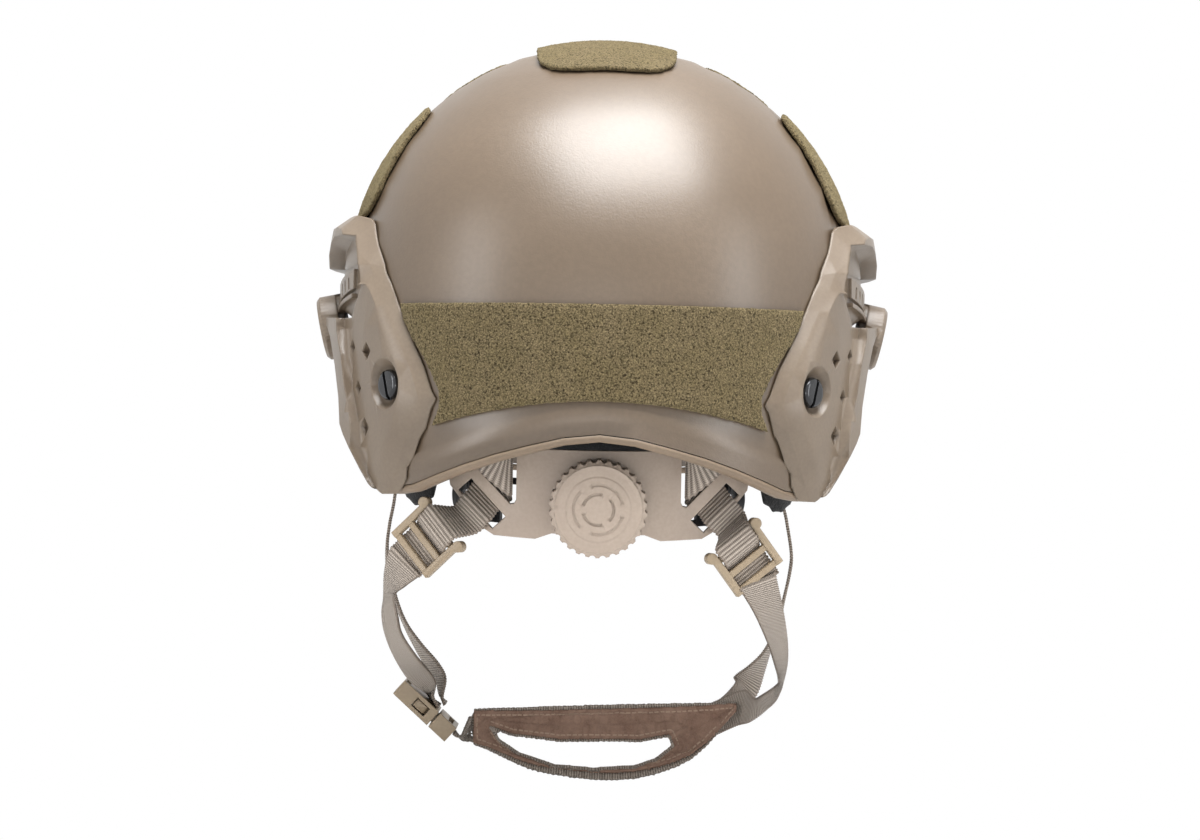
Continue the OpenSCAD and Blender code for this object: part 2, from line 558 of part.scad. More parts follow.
// Racks: teeth of module 1 on the arc of the arms, upper on the left arm, lower on the right
pitch_r = pinion_teeth / 2;
mid_r = arm_r + arm_t / 2;
tooth_step = 180 / mid_r;
rack_end = 14.5;
last_tooth = floor((rack_end - 1) / tooth_step - 0.5);
wide_start = 33;
arm_end = 48;
module rack_tooth(i) translate([0, nape_y, 0]) rotate([0, 0, tooth_step * (i + 0.5)]) rotate([90, 0, 0])
    translate([0, 0, -arm_r - arm_t]) linear_extrude(arm_t)
        polygon([[-1.2, pitch_r + 1.3], [-0.42, pitch_r - 0.85], [0.42, pitch_r - 0.85], [1.2, pitch_r + 1.3]]);
module arm_solid() {
    difference() {
        union() {
            sector(arm_r, arm_r + arm_t, -wide_start - 1, rack_end, pitch_r + 1.25, 10);
            for (i = [-last_tooth - 1:last_tooth]) rack_tooth(i);
            sector(arm_r, arm_r + arm_t, -arm_end, -wide_start, -arm_h / 2, arm_h / 2);
            intersection() {
                sector(arm_r, arm_r + arm_t, -arm_end - 9, -arm_end + 1, 0.2 - arm_h / 2, arm_h / 2 - 0.2);
                translate([0, nape_y, 0]) rotate([0, 0, -arm_end]) rotate([-90, 0, 0]) cylinder(d = arm_h, h = plate_r);
            }
        }
        for (a = [36, 42, 48]) translate([0, nape_y, 0]) rotate([0, 0, -a]) rotate([-90, 0, 0])
            cylinder(d = 6, h = plate_r);
    }
}
module band_arm_left() color([0.14, 0.14, 0.14]) nape_frame() arm_solid();
module band_arm_right() color([0.14, 0.14, 0.14]) nape_frame() rotate([0, 180, 0]) arm_solid();

knob_gap = 0.6;
grips = 30;
face_rings = [[10.6, 0], [6.6, 60]];   // radius and turn of each
module dial_knob() color(tan_plate) nape_frame() translate([0, dial_face_y + knob_gap, 0]) rotate([-90, 0, 0])
    difference() {
        union() {
            cylinder(d = knob_d, h = knob_t - 3);
            translate([0, 0, knob_t - 3]) cylinder(d1 = knob_d, d2 = knob_d - 4.5, h = 1.8);
            translate([0, 0, knob_t - 1.3]) intersection() {
                cylinder(d = knob_d - 4.5, h = 1.3);
                translate([0, 0, 1.3 - 150]) sphere(r = 150, $fn = 96);
            }
        }
        for (i = [0:grips - 1]) rotate([0, 0, 360 * i / grips]) translate([knob_d / 2 + 0.35, 0, -1])
            cylinder(d = 2.9, h = knob_t + 2);
        // turned ring of the face, and the broken rings engraved inside it
        translate([0, 0, knob_t - 0.7]) difference() {
            cylinder(d = 29, h = 2);
            translate([0, 0, -1]) cylinder(d = 27.4, h = 4);
        }
        for (g = face_rings, k = [0:2]) rotate([0, 0, g[1] + 120 * k]) translate([0, 0, knob_t - 0.8]) intersection() {
            difference() {
                cylinder(r = g[0] + 0.7, h = 2);
                translate([0, 0, -1]) cylinder(r = g[0] - 0.7, h = 4);
            }
            linear_extrude(2) polygon([[0, 0], [20, -20], [20, 20]]);
        }
        translate([0, 0, -1]) cylinder(d = 8.1, h = 6);
        translate([0, 0, -1]) cylinder(d = 3.1, h = 9.5);
    }
module dial_pinion() color([0.8, 0.78, 0.72]) nape_frame() difference() {
    union() {
        translate([0, nape_y + arm_r + 0.1, 0]) rotate([-90, 0, 0]) linear_extrude(arm_t - 0.2) union() {
            circle(r = pitch_r - 1.2);
            for (i = [0:pinion_teeth - 1]) rotate(360 * i / pinion_teeth)
                polygon([[pitch_r - 1.5, -0.95], [pitch_r + 0.85, -0.38], [pitch_r + 0.85, 0.38], [pitch_r - 1.5, 0.95]]);
        }
        translate([0, nape_y + arm_r + 0.2, 0]) rotate([-90, 0, 0])
            cylinder(d = 8, h = plate_r - arm_r + knob_gap + 4.5);
    }
    rotate([-90, 0, 0]) cylinder(d = 3.1, h = 140);
}
module dial_screw() color([0.25, 0.25, 0.26]) nape_frame() rotate([-90, 0, 0]) difference() {
    union() {
        translate([0, 0, nape_y + arm_r - 1.6]) cylinder(d = 6.5, h = 1.6);
        translate([0, 0, nape_y + arm_r - 0.1]) cylinder(d = 3, h = 15);
    }
    translate([-4, -0.4, nape_y + arm_r - 2]) cube([8, 0.8, 1]);
}

// Webbing through stations of [middle, width direction], smoothed between them
function mix4(p, q, r, s, t) = 0.5 * ((2 * q) + (r - p) * t + (2 * p - 5 * q + 4 * r - s) * t ^ 2
    + (3 * q - p - 3 * r + s) * t ^ 3);
function smooth(list, k, per) = [for (i = [0:len(list) - 2], j = [0:per - 1])
    mix4(list[max(0, i - 1)][k], list[i][k], list[i + 1][k], list[min(len(list) - 1, i + 2)][k], j / per),
    list[len(list) - 1][k]];
function unit(v) = v / norm(v);
module ribbon(stations, width, thick, per = 3, lift = 0) {
    mids = smooth(stations, 0, per);
    ways = smooth(stations, 1, per);
    n = len(mids);
    rings = [for (i = [0:n - 1])
        let (run = mids[min(n - 1, i + 1)] - mids[max(0, i - 1)], w = ways[i] * width / 2,
            up = unit(cross(ways[i], run)) * thick / 2, m = mids[i] + unit(up) * lift)
        [m - w - up, m + w - up, m + w + up, m - w + up]];
    skin_of(rings);
}

// A point of a ladder lock's own frame: x along its bars, y down the webbing, z outwards
function spin_y(p, b) = [p.x * cos(b) + p.z * sin(b), p.y, -p.x * sin(b) + p.z * cos(b)];
function spin_z(p, g) = [p.x * cos(g) - p.y * sin(g), p.x * sin(g) + p.y * cos(g), p.z];
function lock_pt(lock, p) = lock[0] + spin_z(spin_y([p.x, p.z, -p.y], lock[1]), lock[2]);
function lock_way(lock, s) = s * spin_z(spin_y([1, 0, 0], lock[1]), lock[2]);
left_lock = [[75, 86, -54], -48, -24];
right_lock = [[-65, 89, -60], 38, 18];

lock_web = [[0, -13, 2.2], [0, -8.8, 2.5], [0, -6.3, 2.3], [0, -4.1, 0], [0, -1.9, -2.3], [0, 0, -2.5], [0, 5, -2.5],
    [0, 9.6, -2.5], [0, 13, -2.5]];
function through_lock(lock, s) = [for (p = lock_web) [lock_pt(lock, p), lock_way(lock, s)]];
module ladder_lock(lock) color([0.66, 0.56, 0.42])
    translate(lock[0]) rotate([0, 0, lock[2]]) rotate([0, lock[1], 0]) rotate([-90, 0, 0]) difference() {
        union() {
            translate([-web_w / 2 - 3.4, -9.6, -1.3]) cube([web_w + 6.8, 19.2, 2.6]);
            for (s = [-1, 1]) {
                translate([s * (web_w / 2 + 1.9), 0, -2]) intersection() {
                    translate([-1.5, -9.6, 0]) cube([3, 19.2, 4]);
                    translate([0, 0, 2]) rotate([90, 0, 0]) cylinder(d = 4.6, h = 40, center = true);
                }
                translate([s * (web_w / 2 + 3.1), -11, -2]) cylinder(d = 5, h = 4);
            }
        }
        for (y = [-6.9, 1.4]) translate([-web_w / 2 - 0.5, y, -3]) cube([web_w + 1, 5.5, 6]);
    }
module ladder_lock_left() ladder_lock(left_lock);
module ladder_lock_right() ladder_lock(right_lock);

buckle_at = [79, -63, -141.5];
buckle_turn = 42;
function buckle_pt(p) = buckle_at + [-p.x * cos(buckle_turn) + p.z * sin(buckle_turn), p.y,
    -p.x * sin(buckle_turn) - p.z * cos(buckle_turn)];
function flip(list) = [for (s = list) [[-s[0].x, s[0].y, s[0].z], [-s[1].x, s[1].y, s[1].z]]];
web_depth = -nut_depth - web_t / 2 - 0.2;
rear_end = [-(anchor_drop + 3) * sin(rear_turn), (anchor_drop + 3) * cos(rear_turn), web_depth];
function nape_web(x, r, z, across, up, wide) =
    [nape_pt(x, r, z), wide * unit([across, -across * x / sqrt(r ^ 2 - x ^ 2), up])];
// From the rear anchor to the fold beside the plate, back behind its arm and out of its slot
upper_web = [
    [on_pt(rear_screw, rear_aim, rear_end), [cos(rear_turn) * cos(rear_aim), -cos(rear_turn) * sin(rear_aim),
        -sin(rear_turn)]],
    [skin_z(38.5, -3, -14.5), [0.5, -0.45, -0.74]],
    [skin_z(34.8, -6, -18), [0.56, -0.36, -0.75]],
    nape_web(56, plate_r + 1.6, 29, 0.63, -0.75, 1),
    nape_web(50, plate_r + 1.6, 24, 0.66, -0.75, 1),
    nape_web(44, plate_r + 1.4, 18.8, 0.55, -0.85, 1.05),
    nape_web(39.6, plate_r - 0.9, 15.2, 0.06, -1, 1.22),
    nape_web(38, plate_r - 3, 14.6, 0, -1, 1.24),
    nape_web(39, plate_r - plate_t - 1.25, 13.8, -0.08, -1, 1.22),
    nape_web(42.5, plate_r - plate_t - 1.35, 9, -0.5, -0.9, 1.1),
    nape_web(46.5, plate_r - plate_t - 1.35, 4.2, -0.72, -0.69, 1),
    nape_web(48.8, plate_r - plate_t - 1.3, 1.6, -0.72, -0.69, 1),
    nape_web(51, plate_r - 1.75, -1.3, -0.72, -0.69, 1),
    nape_web(53.3, plate_r + 1.2, -3.9, -0.72, -0.69, 1),
    nape_web(58, plate_r + 1.9, -9, -0.72, -0.69, 1)];

// The chin cup is cut from one strip: along u from left to right, across v from its top edge
cup_left = 58;
cup_right = -68;
cup_end_y = -66;
cup_belly = [[0, 20], [0.45, 25], [0.75, 18], [1, 8]];
function cup_pt(u, v, d) =
    let (b = sin(180 * min(1, max(0, u))) ^ 0.8, belly = curve(cup_belly, v), top = curve(cup_top, u), low = curve(cup_low, u),
        lean = curve([[0, 0], [0.45, 8], [1, 62]], v) * b)
    [cup_left + (cup_right - cup_left) * u, cup_end_y - b * belly + d * cos(lean), top + (low - top) * v + d * sin(lean)];
cup_top = [[0, -139.5], [0.25, -139.3], [0.6, -137.6], [0.9, -135.3], [1, -134.2]];
cup_low = [[0, -157], [0.08, -161.5], [0.22, -169.5], [0.37, -173], [0.52, -174.4], [0.68, -171.5], [0.84, -162.5],
    [0.94, -149], [1, -139]];
cup_hole = [[48, -150.6], [40, -153.8], [17, -157], [-22, -156.6], [-36, -153.4], [-37.5, -157], [-30, -163],
    [-20, -166.6], [0, -168.2], [19, -166.6], [36, -161], [45.5, -154.6]];

left_run = [
    [[84.6, 81, -64.5], [-0.69, 0.42, -0.58]],
    [[89, 72, -72], [-0.49, 0.82, -0.29]],
    [[92, 56, -80], [-0.3, 0.95, 0.05]],
    [[92.7, 38, -89], [-0.42, 0.9, -0.04]],
    [[92.3, 15, -99], [-0.48, 0.87, -0.04]],
    [[88.2, -10, -111], [-0.62, 0.78, 0]],
    [[83.5, -33, -121], [-0.5, 0.8, 0.33]],
    [[78, -48, -128.5], [-0.3, 0.9, 0.32]],
    [buckle_pt([-4, 3, -6.2]), [-0.1, 0.98, 0.12]],
    [buckle_pt([1.5, 2, -5.5]), [0, 1, 0]]];
right_run = [
    [[-70, 88, -69.5], [0.84, 0.45, -0.3]],
    [[-75.4, 74, -82], [0.69, 0.71, -0.1]],
    [[-80.7, 50, -96.5], [0.52, 0.85, 0]],
    [[-84.2, 20, -108.5], [0.36, 0.93, 0.03]],
    [[-86, -8, -119], [0.15, 0.98, 0.1]],
    [[-85.4, -30, -126], [0.12, 0.92, 0.36]],
    [[-80.5, -47, -132.5], [0.18, 0.88, 0.42]],
    [[-75.5, -56.5, -137], [-0.05, 0.72, 0.66]],
    [cup_pt(1, 0.55, -1.6) + [-2.5, 2, 0], [-0.15, 0.3, 0.93]],
    [cup_pt(0.94, 0.5, -1.7), [-0.2, 0.05, 0.97]],
    [cup_pt(0.86, 0.46, -1.7), [-0.2, 0, 0.97]]];
module rear_strap_left() color(web_colour)
    ribbon(concat(upper_web, through_lock(left_lock, -1), left_run), web_w, web_t, 2);
module rear_strap_right() color(web_colour)
    ribbon(concat(flip(upper_web), through_lock(right_lock, 1), right_run), web_w, web_t, 2);

front_end = [0, anchor_drop + 3, web_depth];
module front_strap_left() color(web_colour) ribbon([
    [on_pt(front_screw, front_aim, front_end), [-cos(front_aim), sin(front_aim), 0]],
    [[half_w - 26, -56, 24], [0.42, 0.9, 0]],
    [[half_w - 24.5, -58, 8], [0.3, 0.95, 0]],
    [[half_w - 18.5, -62, -14], [-0.05, 1, 0]],
    [[half_w - 16.8, -65, -38], [-0.05, 1, 0]],
    [[half_w - 14.5, -65, -52], [-0.05, 1, 0]],
    [[half_w - 13.5, -65, -63], [-0.08, 1, 0]],
    [[half_w - 14.5, -65, -74], [-0.13, 1, 0]],
    [[96.5, -66, -88], [-0.14, 1, 0]],
    [[92, -67, -99], [-0.16, 0.99, 0]],
    [[86, -69, -109], [-0.28, 0.96, 0.02]],
    [[79, -72, -119], [-0.4, 0.91, 0.08]],
    [[74.5, -71, -126], [-0.3, 0.94, 0.1]],
    [buckle_pt([-1, -4, -9]), [-0.1, 0.98, 0.05]],
    [buckle_pt([3, -4, -7.8]), [0, 1, 0]]], web_w, web_t, 2);
module front_strap_right() color(web_colour) ribbon([
    flip([[on_pt(front_screw, front_aim, front_end), [-cos(front_aim), sin(front_aim), 0]]])[0],
    [[26 - half_w, -56, 24], [-0.42, 0.9, 0]],
    [[26 - half_w, -58, 8], [-0.3, 0.95, 0]],
    [[25.5 - half_w, -64, -12], [0.05, 1, 0]],
    [[26.5 - half_w, -65, -34], [0.05, 1, 0]],
    [[24 - half_w, -65, -47], [0.05, 1, 0]],
    [[21.5 - half_w, -65, -62], [0.05, 1, 0]],
    [[22 - half_w, -65, -71], [0.05, 1, 0]],
    [[-90, -66, -84], [0.08, 1, 0]],
    [[-87, -68, -98], [0.12, 1, 0]],
    [[-82.5, -71, -110], [0.2, 0.97, 0.07]],
    [[-78, -73, -118], [0.45, 0.88, 0.14]],
    [[-73, -77.5, -127], [0.6, 0.55, 0.5]],
    [cup_pt(0.99, 0.25, -4.8) + [-2, -1, 2], [0.1, 0.3, 0.93]],
    [cup_pt(0.93, 0.48, -4.5), [-0.2, 0.05, 0.97]],
    [cup_pt(0.86, 0.46, -4.5), [-0.2, 0, 0.97]]], web_w, web_t, 2);

// Side-release buckle, in its own frame: x from the harness end to the cup end,
// y along the webbing's width, z out of the face
buckle_w = web_w + 7;
module buckle_frame() translate(buckle_at) rotate([0, 180 - buckle_turn, 0]) children();

module buckle_socket() color(tan_plate) buckle_frame() difference() {
    translate([-8, 0, 0]) intersection() {
        cube([22, buckle_w, buckle_t], center = true);
        translate([2, 0, 0]) cylinder(r = 17.5, h = 20, center = true);
    }
    // cavity for the plug, open towards the cup, with side windows for the prong heads
    translate([-13, -buckle_w / 2 + 3, -2.4]) cube([30, buckle_w - 6, 4.8]);
    translate([-9, -buckle_w, -2.4]) cube([8, 2 * buckle_w, 4.8]);
    // webbing slot
    translate([-18.2, -web_w / 2 - 0.5, -10]) cube([2.6, web_w + 1, 20]);
}
module buckle_plug() color(tan_plate) buckle_frame() difference() {
    union() {
        translate([4, -buckle_w / 2, -buckle_t / 2]) cube([10.5, buckle_w, buckle_t]);
        translate([-11, -1.8, -1.9]) cube([15.5, 3.6, 3.8]);
    }
    translate([9, -web_w / 2 - 0.5, -10]) cube([2.8, web_w + 1, 20]);
    for (s = [-1, 1]) translate([prong_x, s * prong_y, -2.2]) {
        cylinder(r = prong_r + 0.06, h = 4.4);
        translate([3.9 - prong_x, -1.82, 0]) cube([prong_x - 3.9, 3.64, 4.4]);
    }
}
prong_x = 6.2;
prong_y = 8;
prong_r = 1.9;
// A sprung prong: round root in the plug, thin neck and a barbed head
module prong() {
    cylinder(r = prong_r, h = 3.8, center = true);
    translate([-9, -1.2, -1.9]) cube([9, 2.4, 3.8]);
    translate([-prong_x - 8.5, -1.4, -1.9]) cube([6.2, 5.3, 3.8]);
}
module prong_front() color(tan_plate) buckle_frame() mirror([0, 1, 0]) translate([prong_x, prong_y, 0]) prong();
module prong_back() color(tan_plate) buckle_frame() translate([prong_x, prong_y, 0]) prong();

// One layer of the cup, drawn in from the edges by the trim
module cup_layer(d, thick, trim) difference() {
    slab(grid(function (u, v, e) cup_pt(u, trim + v * (1 - 2 * trim), e), 8, 18, d),
        grid(function (u, v, e) cup_pt(u, trim + v * (1 - 2 * trim), e), 8, 18, d + thick));
    rotate([90, 0, 0]) translate([0, 0, 40]) linear_extrude(80) offset(delta = 26 * trim) polygon(cup_hole);
}
module cup_webbing() color(web_colour) {
    cup_layer(0, web_t, 0);
    ribbon([[buckle_pt([15, 0, -1]), [0, 1, 0]], [buckle_pt([20, -1, -1]), [0, 0.97, 0.2]],
        [[60, -66.5, -150], [0, 0.5, 0.8]], [[56, -67.6, -149.5], [0, 0.12, 0.9]]], web_w - 3, web_t, 2);
}
lining_t = 1.6;
module cup_lining() color([0.42, 0.33, 0.27]) cup_layer(web_t + 0.4, lining_t, 0.055);

shell();
edge_trim();
liner();
front_pad();
crown_pad();
side_pads();
back_pads();
rear_patch();
crown_patch();
side_patches();
front_patches();
rail_left();
rail_right();
rail_screws();
rail_nuts();
shroud();
shroud_screws();
shroud_nuts();
rear_anchors();
front_anchors();
nape_plate();
nape_cover();
nape_pad();
band_arm_left();
band_arm_right();
dial_knob();
dial_pinion();
dial_screw();
rear_strap_left();
rear_strap_right();
front_strap_left();
front_strap_right();
ladder_lock_left();
ladder_lock_right();
buckle_socket();
buckle_plug();
prong_front();
prong_back();
cup_webbing();
cup_lining();
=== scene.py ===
import json
import math
import bmesh
import bpy
from mathutils import Matrix, Vector, noise
from mathutils.kdtree import KDTree


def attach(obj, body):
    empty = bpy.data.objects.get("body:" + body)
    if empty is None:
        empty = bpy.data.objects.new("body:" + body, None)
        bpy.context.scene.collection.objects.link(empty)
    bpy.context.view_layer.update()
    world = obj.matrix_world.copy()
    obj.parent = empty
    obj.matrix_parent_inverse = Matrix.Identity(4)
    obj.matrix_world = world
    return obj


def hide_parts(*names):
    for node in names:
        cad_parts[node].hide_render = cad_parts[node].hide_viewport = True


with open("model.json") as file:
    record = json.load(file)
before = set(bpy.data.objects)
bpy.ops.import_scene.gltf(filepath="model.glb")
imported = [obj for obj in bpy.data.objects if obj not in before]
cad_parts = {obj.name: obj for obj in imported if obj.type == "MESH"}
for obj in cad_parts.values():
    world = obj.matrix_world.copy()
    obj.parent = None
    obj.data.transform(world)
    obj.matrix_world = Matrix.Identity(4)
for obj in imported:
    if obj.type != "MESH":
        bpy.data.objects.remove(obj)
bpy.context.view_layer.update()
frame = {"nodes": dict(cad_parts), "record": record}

mm = 0.001
weldGap = 0.00001
nodes = frame["nodes"]
bodyOf = {n: b for b, names in frame["record"]["behaviour"]["bodies"].items() for n in names}


# helpers for meshes
def pick(ob, *others):
    for was in bpy.context.selected_objects:
        was.select_set(False)
    for one in (ob, *others):
        one.select_set(True)
    bpy.context.view_layer.objects.active = ob


def applyAll(ob):
    pick(ob)
    for m in list(ob.modifiers):
        bpy.ops.object.modifier_apply(modifier=m.name)


def editMesh(ob, *steps):
    # the steps run in edit mode with the whole mesh selected
    pick(ob)
    bpy.ops.object.mode_set(mode="EDIT")
    bpy.ops.mesh.select_all(action="SELECT")
    for step in steps:
        step()
    bpy.ops.object.mode_set(mode="OBJECT")


def weld():
    bpy.ops.mesh.remove_doubles(threshold=weldGap)


def turnOutwards():
    bpy.ops.mesh.normals_make_consistent(inside=False)


def copyNode(node, name):
    # an own, welded copy of a CAD node's mesh
    ob = bpy.data.objects.new(name, nodes[node].data.copy())
    bpy.context.scene.collection.objects.link(ob)
    ob.data.materials.clear()
    editMesh(ob, weld, turnOutwards)
    return ob


def evenMesh(ob, voxel, rounds=0):
    grid = ob.modifiers.new("even mesh", "REMESH")
    grid.mode = "VOXEL"
    grid.voxel_size = voxel
    if rounds:
        soften = ob.modifiers.new("soft edges", "SMOOTH")
        soften.iterations = rounds
    applyAll(ob)


def movePoints(ob, places):
    for v, to in zip(ob.data.vertices, places):
        v.co = to


def smoothShade(ob, angle=None):
    # sharp above the angle, or smooth all over
    pick(ob)
    if angle is None:
        bpy.ops.object.shade_smooth()
    else:
        bpy.ops.object.shade_smooth_by_angle(angle=math.radians(angle))


def finishPiece(ob, body, slotName, material, *replaced):
    ob.data.materials.clear()
    ob.data.materials.append(material)
    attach(ob, body)
    if replaced:
        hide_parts(*replaced)


# helpers for materials
def tint(code):
    # linear colour of an sRGB code
    parts = [int(code[i:i + 2], 16) / 255 for i in (1, 3, 5)]
    return tuple(c / 12.92 if c <= 0.04045 else ((c + 0.055) / 1.055) ** 2.4 for c in parts) + (1.0,)


def feed(tree, value, socket):
    # a link from another node's socket, or a plain value
    if isinstance(value, bpy.types.NodeSocket):
        tree.links.new(value, socket)
    else:
        socket.default_value = value


def newGroup(name, inputs, outputs):
    # inputs by name with their default, outputs by name with their kind
    tree = bpy.data.node_groups.new(name, "ShaderNodeTree")
    for label, value in inputs.items():
        socket = tree.interface.new_socket(name=label, in_out="INPUT", socket_type="NodeSocketFloat")
        socket.default_value = value
    for label, kind in outputs.items():
        tree.interface.new_socket(name=label, in_out="OUTPUT", socket_type=kind)
    return tree, tree.nodes.new("NodeGroupInput").outputs, tree.nodes.new("NodeGroupOutput")


def giveOut(tree, end, **values):
    for label, value in values.items():
        tree.links.new(value, end.inputs[label])


def mathNode(tree, what, *values):
    node = tree.nodes.new("ShaderNodeMath")
    node.operation = what
    for value, socket in zip(values, node.inputs):
        feed(tree, value, socket)
    return node.outputs[0]


def addShare(tree, total, value, share):
    return mathNode(tree, "ADD", total, mathNode(tree, "MULTIPLY", value, share))


def waveNode(tree, value, length):
    turns = mathNode(tree, "DIVIDE", value, length)
    return mathNode(tree, "SINE", mathNode(tree, "MULTIPLY", turns, 2 * math.pi))


def vectorNode(tree, what, a, b):
    node = tree.nodes.new("ShaderNodeVectorMath")
    node.operation = what
    feed(tree, a, node.inputs[0])
    feed(tree, b, node.inputs[1])
    return node.outputs["Value" if what == "DOT_PRODUCT" else "Vector"]


def noiseNode(tree, vector, scale, detail, rough):
    node = tree.nodes.new("ShaderNodeTexNoise")
    node.inputs["Detail"].default_value = detail
    node.inputs["Roughness"].default_value = rough
    feed(tree, scale, node.inputs["Scale"])
    tree.links.new(vector, node.inputs["Vector"])
    return node.outputs["Fac"]


def cellNode(tree, vector, scale, feature):
    node = tree.nodes.new("ShaderNodeTexVoronoi")
    node.feature = feature
    feed(tree, scale, node.inputs["Scale"])
    tree.links.new(vector, node.inputs["Vector"])
    return node.outputs["Distance"]


def mixColour(tree, amount, a, b):
    # sockets 6, 7 and 2 are the node's colours
    node = tree.nodes.new("ShaderNodeMix")
    node.data_type = "RGBA"
    tree.links.new(amount, node.inputs[0])
    feed(tree, a, node.inputs[6])
    feed(tree, b, node.inputs[7])
    return node.outputs[2]


def remap(tree, value, low, high, outLow=0.0, outHigh=1.0):
    node = tree.nodes.new("ShaderNodeMapRange")
    tree.links.new(value, node.inputs[0])
    for i, v in enumerate((low, high, outLow, outHigh)):
        node.inputs[i + 1].default_value = v
    return node.outputs[0]


def objectCoord(tree):
    return tree.nodes.new("ShaderNodeTexCoord").outputs["Object"]


def stripCoord(tree):
    # a piece's own map in metres, and its way across and along
    uv = tree.nodes.new("ShaderNodeUVMap")
    uv.uv_map = "strip"
    split = tree.nodes.new("ShaderNodeSeparateXYZ")
    tree.links.new(uv.outputs[0], split.inputs[0])
    return uv.outputs[0], split.outputs[0], split.outputs[1]


def useGroup(tree, group, **values):
    node = tree.nodes.new("ShaderNodeGroup")
    node.node_tree = group
    for key, value in values.items():
        node.inputs[key.replace("_", " ")].default_value = value
    return node.outputs


def startMaterial(name, rough, **sockets):
    mat = bpy.data.materials.new(name)
    mat.use_nodes = True
    shader = mat.node_tree.nodes["Principled BSDF"]
    shader.inputs["Roughness"].default_value = rough
    for key, value in sockets.items():
        shader.inputs[key.replace("_", " ")].default_value = value
    return mat, mat.node_tree, shader


def linkCloth(tree, shader, base, height, strength, distance):
    bump = tree.nodes.new("ShaderNodeBump")
    bump.inputs["Strength"].default_value = strength
    bump.inputs["Distance"].default_value = distance
    tree.links.new(base, shader.inputs["Base Color"])
    tree.links.new(height, bump.inputs["Height"])
    tree.links.new(bump.outputs[0], shader.inputs["Normal"])


# moulded and painted surfaces; a span is the part of a noise that is stretched to the full range
noiseSpan = (0.3, 0.7)
mouldedLook = {"edgeSamples": 4, "rubSpan": (0.97, 0.75), "wear": 160.0, "wearSpan": (0.4, 0.7), "speckScale": 0.42,
    "speckSpan": (0.35, 0.65), "glossier": 0.04, "rougher": 0.05}
mouldedUsual = {"edge": 0.0009, "depth": 0.0002, "speck": 0.25, "rub": 0.5, "sockets": {}}


def makeMouldedGroup():
    # fine grain, slow cloudiness and pale rubbed edges
    tree, given, end = newGroup("moulded surface",
        {"Grain": 900.0, "Cloud": 22.0, "Edge": 0.0012, "Bump": 0.2, "Depth": 0.0002},
        {"Normal": "NodeSocketVector", "Cloudiness": "NodeSocketFloat", "Rubbed": "NodeSocketFloat",
         "Speckle": "NodeSocketFloat"})
    coord = objectCoord(tree)
    grain = noiseNode(tree, coord, given["Grain"], detail=2.0, rough=0.6)
    cloud = noiseNode(tree, coord, given["Cloud"], detail=4.0, rough=0.55)
    speckScale = mathNode(tree, "MULTIPLY", given["Grain"], mouldedLook["speckScale"])
    speck = noiseNode(tree, coord, speckScale, detail=1.0, rough=0.5)
    # an edge is where the rounded normal leaves the plain one
    rounded = tree.nodes.new("ShaderNodeBevel")
    rounded.samples = mouldedLook["edgeSamples"]
    tree.links.new(given["Edge"], rounded.inputs["Radius"])
    plain = tree.nodes.new("ShaderNodeNewGeometry")
    likeness = vectorNode(tree, "DOT_PRODUCT", rounded.outputs[0], plain.outputs["Normal"])
    wear = noiseNode(tree, coord, mouldedLook["wear"], detail=3.0, rough=0.6)
    rub = mathNode(tree, "MULTIPLY", remap(tree, likeness, *mouldedLook["rubSpan"]),
        remap(tree, wear, *mouldedLook["wearSpan"]))
    relief = tree.nodes.new("ShaderNodeBump")
    tree.links.new(grain, relief.inputs["Height"])
    tree.links.new(rounded.outputs[0], relief.inputs["Normal"])
    tree.links.new(given["Bump"], relief.inputs["Strength"])
    tree.links.new(given["Depth"], relief.inputs["Distance"])
    giveOut(tree, end, Normal=relief.outputs[0], Cloudiness=cloud, Rubbed=rub, Speckle=speck)
    return tree


moulded = makeMouldedGroup()


def mouldedMaterial(name, own):
    look = {**mouldedUsual, **own}
    mat, tree, shader = startMaterial(name, look["rough"], **look["sockets"])
    surface = useGroup(tree, moulded, Grain=look["grain"], Cloud=look["cloud"], Edge=look["edge"],
        Bump=look["bump"], Depth=look["depth"])
    base = mixColour(tree, remap(tree, surface["Cloudiness"], *noiseSpan), tint(look["dark"]), tint(look["light"]))
    specks = remap(tree, surface["Speckle"], *mouldedLook["speckSpan"], 0.0, look["speck"])
    base = mixColour(tree, specks, base, tint(look["fleck"]))
    rubbed = mathNode(tree, "MULTIPLY", surface["Rubbed"], look["rub"])
    base = mixColour(tree, rubbed, base, tint(look["rubbed"]))
    rough = remap(tree, surface["Cloudiness"], *noiseSpan, look["rough"] - mouldedLook["glossier"],
        look["rough"] + mouldedLook["rougher"])
    tree.links.new(base, shader.inputs["Base Color"])
    tree.links.new(rough, shader.inputs["Roughness"])
    tree.links.new(surface["Normal"], shader.inputs["Normal"])
    return mat


